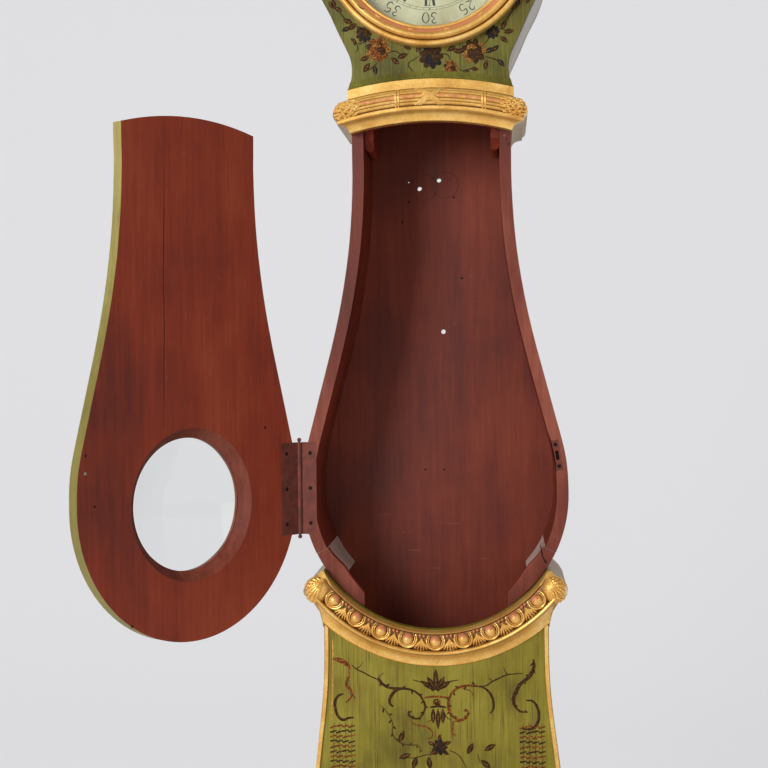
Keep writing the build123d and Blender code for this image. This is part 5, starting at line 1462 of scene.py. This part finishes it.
# ---------------------------------------------------------------- brushwork
@dataclass
class BaseOrnament:
    """Rococo strapwork, husks and flowers painted on the base's panel."""

    box: Paintbox
    front_y: float = -120.0
    fold: float = 392.0
    straps: tuple[tuple[Tone, tuple[Point, ...], tuple[float, ...]], ...] = (
        (Tone.RUSSET, ((-172, 628), (-159, 626), (-148, 620), (-139, 611)), (1.0, 4.2, 3.6, 1.0)),
        (Tone.UMBER, ((-139, 618), (-131, 611), (-120, 606), (-109, 600), (-95, 594)),
         (0.8, 1.2, 1.0)),
        (Tone.UMBER, ((-131, 612), (-125, 616), (-121, 622)), (0.8, 0.5)),
        (Tone.UMBER, ((-96, 595), (-92, 601), (-86, 605)), (0.8, 0.5)),
        (Tone.UMBER, ((-95, 595), (-87, 586), (-77, 581), (-60, 580), (-43, 578), (-30, 571),
                      (-22, 560), (-19, 550), (-22, 540), (-30, 531), (-40, 532), (-46, 538),
                      (-44, 543)), (2.6, 2.0, 1.6, 2.0, 1.4, 2.2)),
        (Tone.UMBER, ((-52, 579), (-63, 578), (-72, 571), (-77, 561), (-76, 554), (-71, 550)),
         (1.2, 2.8, 2.4, 1.4)),
        (Tone.UMBER, ((140, 605), (125, 604), (113, 602), (102, 597), (90, 591), (81, 585),
                      (70, 584)), (0.8, 1.3, 1.0)),
        (Tone.UMBER, ((116, 603), (112, 608), (110, 615)), (0.8, 0.5)),
        (Tone.UMBER, ((90, 591), (89, 595), (84, 596)), (0.8, 0.5)),
        (Tone.RUSSET, ((70, 584), (54, 585), (40, 583), (29, 577), (22, 567), (19, 554), (21, 542),
                       (28, 533), (38, 529), (48, 533), (51, 541), (46, 546)),
         (1.4, 2.2, 1.8, 2.2, 1.6, 2.2)),
        (Tone.UMBER, ((56, 584), (73, 583), (83, 577), (90, 567), (93, 555), (92, 546), (87, 540)),
         (1.2, 2.2, 1.2)),
        (Tone.RUSSET, ((39, 582), (48, 579), (56, 575), (60, 568)), (0.7, 1.0, 0.6)),
        (Tone.RUSSET, ((-20, 565), (-1, 567), (19, 565)), (1.4, 1.8, 1.4)),
        (Tone.UMBER, ((-5, 576), (-14, 585), (-25, 590), (-39, 594)), (1.8, 1.4, 0.6)),
        (Tone.UMBER, ((-7, 576), (-11, 587), (-17, 591)), (1.4, 0.6)),
        (Tone.UMBER, ((1, 576), (11, 586), (22, 591), (36, 594)), (1.8, 1.4, 0.6)),
        (Tone.UMBER, ((3, 576), (8, 587), (14, 593)), (1.4, 0.6)),
        (Tone.UMBER, ((-5, 532), (-11, 527), (-17, 526)), (1.0, 0.5)),
        (Tone.UMBER, ((12, 540), (17, 532), (24, 529)), (1.0, 0.5)),
        (Tone.RUSSET, ((-44, 529), (-38, 522), (-26, 519), (-15, 516), (-8, 509), (-9, 500),
                       (-16, 498)), (0.8, 1.4, 0.8)),
        (Tone.RUSSET, ((50, 532), (38, 526), (28, 526), (26, 516), (26, 506), (33, 503)),
         (0.8, 1.4, 0.8)),
        (Tone.RUSSET, ((-142, 607), (-145, 596), (-148, 586), (-141, 577), (-139, 569), (-149, 556)),
         (1.2, 2.6, 1.2)),
        (Tone.UMBER, ((-141, 572), (-133, 563)), (1.2, 0.6)),
        (Tone.UMBER, ((-153, 571), (-163, 566), (-167, 556), (-166, 545), (-162, 534), (-154, 528),
                      (-145, 531), (-136, 532)), (1.4, 2.6, 2.2, 2.6, 1.2)),
        (Tone.UMBER, ((158, 628), (159, 616), (154, 604), (146, 595), (138, 589), (130, 576),
                      (125, 562), (128, 551), (137, 543), (148, 542)),
         (1.4, 3.6, 2.6, 3.4, 2.0, 1.2)),
        (Tone.UMBER, ((146, 561), (156, 560), (164, 549), (166, 538), (164, 525), (156, 516),
                      (145, 514), (137, 516)), (1.2, 2.2, 2.6, 2.2, 1.0)),
        (Tone.UMBER, ((-92, 552), (-82, 542), (-76, 531), (-72, 520), (-73, 507), (-67, 496),
                      (-55, 489), (-42, 487), (-30, 486), (-28, 474)), (0.6, 0.8, 0.6)),
        (Tone.UMBER, ((-2, 472), (-15, 472), (-27, 469), (-42, 466), (-53, 469)), (0.7, 0.9, 0.6)),
        (Tone.UMBER, ((20, 479), (34, 472), (42, 461), (47, 450)), (0.7, 0.9, 0.6)),
        (Tone.UMBER, ((66, 473), (70, 459)), (0.7, 0.5)),
        (Tone.GOLD, ((-170, 659), (-170, 605), (-173, 528)), (1.2, 1.2)),
    )
    leaves: tuple[tuple[float, float, float], ...] = (
        (-53, 469, 200), (-37, 458, 250), (-13, 458, 280), (54, 482, 60), (86, 484, 30),
        (79, 457, 320), (-58, 501, 70),
    )

    def build(self) -> bpy.types.Object:
        """Paints the panel, its lower half the upper one's reflection."""
        paint = Painting()
        for upright in (True, False):
            for tone, points, widths in self.straps:
                paint.stroke(tone, [self.folded(point, upright) for point in points], *widths)
                if widths[0] > 2 or len(points) > 9:
                    line = [self.folded(point, upright) for point in points]
                    paint.spray(Tone.UMBER, line, len(points), 9, 50)
                    paint.stroke(Tone.BRONZE, line, *(w * 0.3 for w in widths))
            for x, z, lean in self.leaves:
                paint.leaf(self.folded((x, z), upright), 22, 10, lean if upright else -lean)
            self.middle(paint, upright)
            self.pedestals(paint, upright)
        return paint.piece("panel_painting", Body.CASE, Slot.GREEN, self.box, board_frame(self.front_y))

    def folded(self, point: Point, upright: bool) -> Point:
        """A point, or its reflection in the panel's middle height."""
        return point if upright else (point[0], 2 * self.fold - point[1])

    def middle(self, paint: Painting, upright: bool) -> None:
        """The plume, rosette, bell, drop and blossom of the middle line."""
        flip = 1 if upright else -1
        for lean, reach in ((90, 36), (57, 27), (123, 27), (32, 30), (148, 30)):
            turn = math.radians(lean)
            at = (-1 + math.cos(turn) * reach * 0.5, 577 + math.sin(turn) * reach * 0.5)
            paint.leaf(self.folded(at, upright), reach, 9.5, lean * flip, Tone.UMBER)
        paint.rose(self.folded((0, 557), upright), 14, Tone.BRONZE, Tone.UMBER)
        for x, reach in ((-6, 26), (2, 36), (10, 26)):
            paint.leaf(self.folded((x, 548 - reach / 2), upright), reach, 8.5, 90, Tone.UMBER)
        brim = [self.folded(point, upright) for point in ((-11, 549), (2, 551), (15, 549))]
        paint.stroke(Tone.UMBER, brim, 1.4, 2.2, 1.4)
        paint.dab(Tone.BRONZE, self.folded((5, 503), upright), 6, 6, 0, 0.0)
        paint.rose(self.folded((4, 484), upright), 27, Tone.UMBER, Tone.INK)
        for x, z, lean in ((-9, 490, 160), (17, 491, 20), (4, 498, 90), (-6, 476, 215), (14, 475, 325)):
            paint.leaf(self.folded((x, z), upright), 13, 7, lean * flip, Tone.UMBER)

    def pedestals(self, paint: Painting, upright: bool) -> None:
        """Hatched blocks under the scrolls at both sides."""
        for x0, x1 in ((-175, -135), (135, 176)):
            for row in range(9):
                z = 519 - row * 8.2
                for column in range(4):
                    x = x0 + (x1 - x0) * (column + 0.5) / 4
                    shift = ((row * 5 + column * 3) % 4) - 1.5
                    tone = (Tone.RUSSET, Tone.UMBER)[(row + column * 2) % 2]
                    a = self.folded((x - 5.5, z - 3 + shift), upright)
                    b = self.folded((x + 5.5, z + shift * 0.4), upright)
                    paint.stroke(tone, [a, b], 1.6, 3.4, 1.2)
                    c = self.folded((x - 2.0 + shift, z - 4.5), upright)
                    d = self.folded((x + 1.0 - shift, z + 4.5), upright)
                    paint.stroke(Tone.INK if (row + column) % 3 else Tone.UMBER, [c, d], 0.4, 1.0, 0.4)


@dataclass
class HoodOrnament:
    """A garland of roses and leaves painted on the hood's front."""

    box: Paintbox
    front_y: float = -118.0
    centre_z: float = 1802.0
    ring: float = 190.0
    stems: tuple[tuple[Point, ...], ...] = (
        ((-105, 1649), (-112, 1637), (-121, 1638)), ((-121, 1638), (-118, 1629), (-122, 1622)),
        ((-72, 1619), (-57, 1623), (-45, 1615)), ((-118, 1661), (-104, 1645), (-92, 1634)),
        ((-18, 1614), (-27, 1608), (-34, 1604), (-35, 1598), (-30, 1592), (-27, 1586)),
        ((13, 1615), (23, 1617), (30, 1614), (32, 1607)),
        ((47, 1591), (55, 1588), (65, 1591), (73, 1591)), ((86, 1620), (97, 1619), (107, 1622)),
        ((90, 1611), (106, 1606), (116, 1600)), ((88, 1630), (98, 1642), (114, 1655), (129, 1651)),
        ((-127, 1665), (-142, 1682), (-157, 1703)), ((121, 1662), (132, 1680), (144, 1698)),
        ((-86, 1605), (-96, 1596), (-104, 1592)),
    )
    dark_leaves: tuple[tuple[float, float, float, float], ...] = (
        (-127, 1665, 15, 30), (-115, 1659, 14, 120), (-105, 1652, 13, 70), (-134, 1674, 14, 160),
        (-137, 1661, 13, 200), (-123, 1639, 9, 90), (-126, 1643, 8, 140), (-107, 1612, 13, 200),
        (-104, 1597, 15, 235), (-90, 1593, 13, 280), (-57, 1607, 14, 320), (-45, 1615, 15, 20),
        (-37, 1629, 12, 150), (-18, 1627, 13, 60), (35, 1625, 13, 30), (45, 1621, 14, 340),
        (52, 1622, 12, 10), (98, 1621, 14, 20), (107, 1624, 12, 40), (91, 1597, 13, 260),
        (116, 1600, 13, 310), (121, 1662, 14, 60), (129, 1651, 14, 10), (121, 1638, 13, 320),
        (-157, 1703, 13, 100), (-150, 1694, 12, 150), (144, 1698, 13, 80), (138, 1690, 12, 20),
        (73, 1591, 11, 350), (61, 1586, 10, 300),
    )

    def build(self) -> bpy.types.Object:
        """Paints the garland and the leaves that go on round the bezel."""
        paint = Painting()
        for stem in self.stems:
            paint.stroke(Tone.UMBER, stem, 0.6, 1.1, 0.6)
        for x, z, length, lean in self.dark_leaves:
            tone = Tone.INK if (x + z) % 3 == 0 else Tone.UMBER
            paint.leaf((x, z), length * 1.3, length * 0.66, lean, tone)
        for x, z, size, tone, heart in (
            (-85, 1626, 42, Tone.BRONZE, Tone.RUSSET), (2, 1613, 42, Tone.UMBER, Tone.INK),
            (34, 1594, 26, Tone.BRONZE, Tone.RUSSET), (72, 1620, 42, Tone.BRONZE, Tone.UMBER),
            (102, 1651, 25, Tone.INK, Tone.INK), (-108, 1652, 28, Tone.UMBER, Tone.INK),
        ):
            paint.rose((x, z), size, tone, heart)
        for k in range(10):
            for side in (-1, 1):
                turn = math.radians(58 + 12 * k)
                at = (side * self.ring * math.sin(turn), self.centre_z - self.ring * math.cos(turn))
                paint.leaf(at, 15, 7, side * (60 + 40 * (k % 3)), Tone.UMBER)
        return paint.piece("hood_painting", Body.HOOD, Slot.GREEN, self.box, board_frame(self.front_y))


@dataclass
class DialPainting:
    """Roman hours, a dotted minute track and numbers for every fifth minute."""

    box: Paintbox
    centre_z: float = 1802.0
    plane_y: float = -99.6
    track: tuple[float, float] = (105.3, 109.3)
    hour_foot: float = 77.0
    hour_height: float = 25.0
    minute_foot: float = 113.5
    minute_height: float = 17.6
    digits: dict[str, tuple[Point, ...]] = field(default_factory=lambda: {
        "0": ((0.5, 1.0), (0.12, 0.75), (0.08, 0.3), (0.5, 0.0), (0.9, 0.3), (0.88, 0.75), (0.5, 1.0)),
        "1": ((0.2, 0.75), (0.5, 1.0), (0.5, 0.5), (0.5, 0.0)),
        "2": ((0.1, 0.75), (0.4, 1.0), (0.8, 0.75), (0.5, 0.4), (0.1, 0.05), (0.5, 0.1), (0.95, 0.02)),
        "3": ((0.12, 0.88), (0.5, 1.0), (0.78, 0.78), (0.4, 0.55), (0.84, 0.3), (0.5, 0.0),
              (0.08, 0.14)),
        "4": ((0.7, 0.0), (0.7, 1.0), (0.05, 0.35), (0.95, 0.35)),
        "5": ((0.9, 1.0), (0.32, 0.97), (0.22, 0.56), (0.62, 0.62), (0.88, 0.32), (0.5, 0.0),
              (0.08, 0.12)),
        "6": ((0.8, 0.98), (0.32, 0.72), (0.12, 0.3), (0.5, 0.0), (0.86, 0.28), (0.5, 0.55),
              (0.18, 0.34)),
    })
    romans: tuple[str, ...] = (
        "XII", "I", "II", "III", "IIII", "V", "VI", "VII", "VIII", "IX", "X", "XI",
    )

    def turned(self, across: float, radius: float, degrees: float) -> Point:
        """A point beside a spoke of the dial."""
        turn = math.radians(degrees)
        return (
            radius * math.sin(turn) + across * math.cos(turn),
            self.centre_z + radius * math.cos(turn) - across * math.sin(turn),
        )

    def build(self) -> bpy.types.Object:
        """Paints the dial."""
        paint = Painting(THIN)
        for radius in self.track:
            ring = [self.turned(0, radius, 6 * k) for k in range(61)]
            paint.stroke(Tone.BLACK, ring, 0.28)
        for minute in range(60):
            size = 2.4 if minute % 5 == 0 else 1.3
            paint.dab(Tone.BLACK, self.turned(0, sum(self.track) / 2, minute * 6), size, size, 0, 0)
        for number in range(1, 13):
            self.minutes(paint, str(number * 5), number * 30)
            self.hour(paint, self.romans[number % 12], number * 30)
        return paint.piece("dial_painting", Body.CASE, Slot.DIAL, self.box, board_frame(self.plane_y))

    def minutes(self, paint: Painting, text: str, degrees: float) -> None:
        """One number beyond the track, its foot to the middle."""
        pitch = 13.6
        for k, digit in enumerate(text):
            left = (k - len(text) / 2) * pitch + 1.2
            line = [
                self.turned(left + x * 11.4, self.minute_foot + y * self.minute_height, degrees)
                for x, y in self.digits[digit]
            ]
            paint.stroke(Tone.BLACK, line, 0.5, 1.05, 0.5, 1.15, 0.45)

    def hour(self, paint: Painting, text: str, degrees: float) -> None:
        """One hour inside the track, its foot to the middle."""
        widths = {"I": 6.6, "V": 12.5, "X": 13.0}
        left = -sum(widths[c] for c in text) / 2
        foot, top = self.hour_foot, self.hour_foot + self.hour_height

        def bar(x0: float, x1: float, half: float, low: float = foot, high: float = top) -> None:
            """A stroke from one radius to another."""
            ends = [self.turned(x0, low, degrees), self.turned(x1, high, degrees)]
            paint.stroke(Tone.BLACK, ends, half)

        for c in text:
            middle = left + widths[c] / 2
            if c == "I":
                bar(middle, middle, 2.1)
                spans = ((middle - 3, middle + 3),)
            elif c == "V":
                bar(middle, middle - 4, 2.2)
                bar(middle, middle + 4, 0.5)
                spans = ((middle - 6.4, middle - 1.6), (middle + 1.8, middle + 6.2))
            else:
                bar(middle + 4, middle - 4, 2.2)
                bar(middle - 4, middle + 4, 0.5)
                spans = ((middle - 6.6, middle - 1.4), (middle + 1.8, middle + 6.4))
            for start, end in spans:
                bar(start, end, 0.4, top, top)
                if c != "V":
                    bar(start, end, 0.4, foot, foot)
            left += widths[c]


@dataclass
class Marks:
    """Nail holes, scribed circles, scratches, the door's long shake, its outer flowers, and a strip of
    painted shade at the hinge.
    """

    box: Paintbox
    rim_front: float = -100.0
    bezel_front: float = -144.4
    door_inner: float = -100.5
    door_outer: float = -120.5
    # Place and size of the dark strip of painted shade behind the hinge.
    shade_strip_at: tuple[float, float, float] = (-216.2, -96.2, 908.0)
    shade_strip: tuple[float, float, float] = (9.0, 1.0, 150.0)

    def build(self) -> None:
        """Marks the back board, a rim, the bezel, the hinge and both faces of the door."""
        self.back()
        self.rim_and_bezel()
        self.hinge_shade_strip()
        self.door_inside()
        self.door_outside()

    def rim_and_bezel(self) -> None:
        """The open joint in the right rim and the bezel's cracked joint."""
        paint = Painting(THIN)
        joint = [(171.5, 812), (174, 800), (175.5, 793), (181, 782)]
        paint.stroke(Tone.MARK, joint, 0.5, 1.3, 0.8, 1.8)
        for x, z in ((120, 1484), (124, 1478), (127, 1470)):
            paint.dab(Tone.SCUFF, (x, z), 5, 2.6, 60, 0.6)
        paint.piece("rim_marks", Body.CASE, Slot.RED, self.box, board_frame(self.rim_front))
        crack = Painting(THIN)
        crack.stroke(Tone.MARK, [(-116, 1696.5), (-111, 1690), (-104, 1688)], 0.3, 0.9, 0.4)
        crack.piece("bezel_crack", Body.BEZEL, Slot.GILT, self.box, board_frame(self.bezel_front))

    def hinge_shade_strip(self) -> None:
        """A dark strip behind the hinge's knuckles, painted shade in the gaps between them."""
        bm = bmesh.new()
        made = bmesh.ops.create_cube(bm, size=1.0)
        place = Matrix.Translation(self.shade_strip_at) @ Matrix.Diagonal((*self.shade_strip, 1.0))
        bmesh.ops.transform(bm, matrix=place, verts=made["verts"])
        link("hinge_shade_strip", settle("hinge_shade_strip", bm), Body.CASE, [self.box.mark])

    def back(self) -> None:
        """The back board's marks."""
        paint = Painting(THIN)
        for x, z, radius in ((-21, 1421, 23), (16, 1424, 23)):
            ring = [(x + radius * math.cos(k / 4), z + radius * math.sin(k / 4)) for k in range(26)]
            paint.stroke(Tone.MARK, ring, 0.35, 0.15, 0.35)
        for x, z in ((-24, 924), (9, 924), (-48, 1395), (31, 1402), (-60, 1360), (44, 1260)):
            paint.dab(Tone.MARK, (x, z), 4, 4, 0, 0)
        for k in range(16):
            x, z = -120 + (k * 61) % 210, 735 + (k * 47) % 110
            length = 10 + (k * 13) % 24
            line = [(x, z), (x + length / 2, z + 1.5), (x + length, z + (k % 3))]
            paint.stroke(Tone.SCUFF, line, 0.1, 0.3, 0.1)
        for k in range(9):
            x, z = -100 + (k * 53) % 190, 1000 + (k * 83) % 330
            paint.stroke(Tone.SCUFF, [(x, z), (x + 3 - k % 5, z + 14), (x + 2, z + 30)], 0.1, 0.25, 0.1)
        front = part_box("back_board")[0].y / MM
        paint.piece("back_board_marks", Body.CASE, Slot.RED, self.box, board_frame(front))

    def door_inside(self) -> None:
        """A shake down the door, small holes and scratches."""
        paint = Painting(THIN)
        shake = [(51, 1413), (52, 1340), (54, 1260), (53.5, 1180), (55, 1100), (56, 1014)]
        paint.stroke(Tone.MARK, shake, 0.25, 0.7, 0.5, 0.8, 0.3)
        for x, z in ((201, 981), (186, 905), (-150, 1010), (120, 720)):
            paint.dab(Tone.MARK, (x, z), 4.4, 4.4, 0, 0)
        for k in range(30):
            x, z = -110 + (k * 71) % 220, 1030 + (k * 97) % 380
            length = 10 + (k * 7) % 26
            lean = (k * 37) % 60 - 30
            turn = math.radians(90 + lean)
            end = (x + math.cos(turn) * length, z + math.sin(turn) * length)
            line = [(x, z), ((x + end[0]) / 2 + 0.8, (z + end[1]) / 2), end]
            paint.stroke(Tone.SCUFF, line, 0.1, 0.28, 0.1)
        inner = door_turn() @ board_frame(self.door_inner, 1)
        paint.piece("door_inside_marks", Body.DOOR, Slot.RED, self.box, inner)

    def door_outside(self) -> None:
        """Flowers and scrolls above and below the window."""
        paint = Painting()
        for side in (-1, 1):
            for start, z0 in ((18, 1260), (10, 1180), (22, 1100)):
                foot, tip = (side * start * 0.2, z0 - 60), (side * (start + 14), z0 + 14)
                stem = [foot, (side * start, z0 - 20), tip]
                paint.stroke(Tone.UMBER, stem, 0.8, 1.2, 0.6)
                paint.spray(Tone.UMBER, stem, 6, 16, 50)
            for scroll in (
                ((6, 1010), (40, 1022), (74, 1012), (88, 1034), (66, 1044)),
                ((6, 752), (40, 738), (76, 752), (84, 772), (66, 774)),
            ):
                paint.stroke(Tone.RUSSET, [(side * x, z) for x, z in scroll], 1.6, 2.6, 1.4)
        for x, z, size in (
            (0, 1282, 44), (-30, 1222, 30), (28, 1168, 32), (-18, 1096, 34), (0, 728, 34),
        ):
            paint.rose((x, z), size, Tone.BRONZE, Tone.UMBER)
        outer = door_turn() @ board_frame(self.door_outer)
        paint.piece("door_flowers", Body.DOOR, Slot.GREEN, self.box, outer)


# ---------------------------------------------------------------- studio
@dataclass
class Studio:
    """Pale sweep, soft lamps and the camera."""

    reach: float = 9.0
    bend_y: float = 2.2
    bend: float = 1.4
    wall_top: float = 7.0
    air: float = 0.37
    paper_glow: float = 0.66
    tone: Colour = tint(238, 238, 240)
    glow: Colour = tint(234, 234, 237)
    place: tuple[float, float, float] = (0.111, -2.797, 1.116)
    forward: tuple[float, float, float] = (-0.0713, 0.9974, 0.0)
    roll: float = 0.61
    lens: float = 76.83
    shift_y: float = -0.030

    def build(self) -> None:
        """Sets up floor, lamps, world and camera."""
        self.sweep()
        self.lamp("key", (-2.3, -3.6, 2.3), (0.0, -0.1, 1.15), (1.4, 1.9), 150)
        self.lamp("fill", (2.8, -3.0, 1.8), (0.0, -0.1, 1.1), (2.0, 2.4), 20)
        self.world()
        self.camera()
        bpy.context.scene.view_settings.view_transform = "Standard"

    def sweep(self) -> None:
        """A floor that curves up into a wall."""
        bm = bmesh.new()
        line = [(-self.reach, 0.0), (self.bend_y, 0.0)]
        for degrees in range(10, 91, 10):
            turn = math.radians(degrees)
            y = self.bend_y + self.bend * math.sin(turn)
            line.append((y, self.bend - self.bend * math.cos(turn)))
        line.append((self.bend_y + self.bend, self.wall_top))
        verts = [bm.verts.new((-self.reach, y, z)) for y, z in line]
        edges = [bm.edges.new(pair) for pair in zip(verts, verts[1:])]
        made = bmesh.ops.extrude_edge_only(bm, edges=edges)
        moved = [item for item in made["geom"] if isinstance(item, bmesh.types.BMVert)]
        bmesh.ops.translate(bm, verts=moved, vec=(2 * self.reach, 0, 0))
        bmesh.ops.recalc_face_normals(bm, faces=bm.faces)
        mesh = bpy.data.meshes.new("sweep")
        for face in bm.faces:
            face.smooth = True
        bm.to_mesh(mesh)
        bm.free()
        mesh.materials.append(self.paper())
        floor = bpy.data.objects.new("sweep", mesh)
        bpy.context.scene.collection.objects.link(floor)

    def paper(self) -> bpy.types.Material:
        """Pale paper, shown to the lens and in glass a little brighter than it is lit."""
        s = Surface("studio_paper")
        paper = s.wear(base_color=self.tone, roughness=0.9)
        path = s.node("ShaderNodeLightPath")
        seen = Num(s, path.outputs["Is Camera Ray"]).most(path.outputs["Is Glossy Ray"])
        seen = seen.most(path.outputs["Is Transmission Ray"])
        glow = s.node("ShaderNodeEmission", {}, {"Color": self.glow, "Strength": 1.0})
        ends = {1: s.skin.outputs[0], 2: glow.outputs[0]}
        both = s.node("ShaderNodeMixShader", {}, {0: seen * self.paper_glow, **ends})
        out = next(node for node in s.tree.nodes if node.type == "OUTPUT_MATERIAL")
        s.feed(out.inputs["Surface"], both.outputs[0])
        return paper

    def lamp(self, name: str, place: Sequence[float], target: Sequence[float], size: Point,
             watts: float) -> None:
        """Adds a soft box that looks at a target.

        Args:
            name: Its name.
            place: Where it hangs, in metres.
            target: Where it looks.
            size: Width and height.
            watts: Its power.
        """
        light = bpy.data.lights.new(name, "AREA")
        light.shape = "RECTANGLE"
        light.size, light.size_y = size
        light.energy = watts
        holder = bpy.data.objects.new(name, light)
        holder.location = place
        holder.rotation_euler = (Vector(target) - Vector(place)).to_track_quat("-Z", "Y").to_euler()
        bpy.context.scene.collection.objects.link(holder)

    def world(self) -> None:
        """Even light from all round."""
        world = bpy.data.worlds.new("studio")
        world.use_nodes = True
        back = world.node_tree.nodes["Background"]
        back.inputs["Color"].default_value = (1.0, 0.985, 0.96, 1)
        back.inputs["Strength"].default_value = self.air
        bpy.context.scene.world = world

    def camera(self) -> None:
        """Places the camera level, turned a little left and hardly tilted."""
        forward = Vector(self.forward).normalized()
        level = forward.cross(Vector((0, 0, 1)))
        lean = math.radians(self.roll)
        up = Vector((0, 0, 1)) * math.cos(lean) + level * math.sin(lean)
        right = level * math.cos(lean) - Vector((0, 0, 1)) * math.sin(lean)
        data = bpy.data.cameras.new("camera")
        data.lens = self.lens
        data.sensor_width = 36
        data.shift_y = self.shift_y
        data.clip_end = 60
        camera = bpy.data.objects.new("camera", data)
        turn = Matrix((right, up, -forward)).transposed().to_4x4()
        camera.matrix_world = Matrix.Translation(self.place) @ turn
        bpy.context.scene.collection.objects.link(camera)
        bpy.context.scene.camera = camera


def main() -> None:
    """Builds the clock in order."""
    logging.basicConfig(level=logging.INFO, format="%(message)s")
    box = Paintbox()
    joinery = Joinery()
    Carcase(box, joinery).build()
    Door(box, joinery).build()
    Hood(box, joinery).build()
    Returns(box, joinery).build()
    UpperMoulding(box).build()
    LowerMoulding(box).build()
    Bezel(box).build()
    BaseOrnament(box).build()
    HoodOrnament(box).build()
    DialPainting(box).build()
    Marks(box).build()
    Studio().build()


if __name__ == "__main__":
    main()
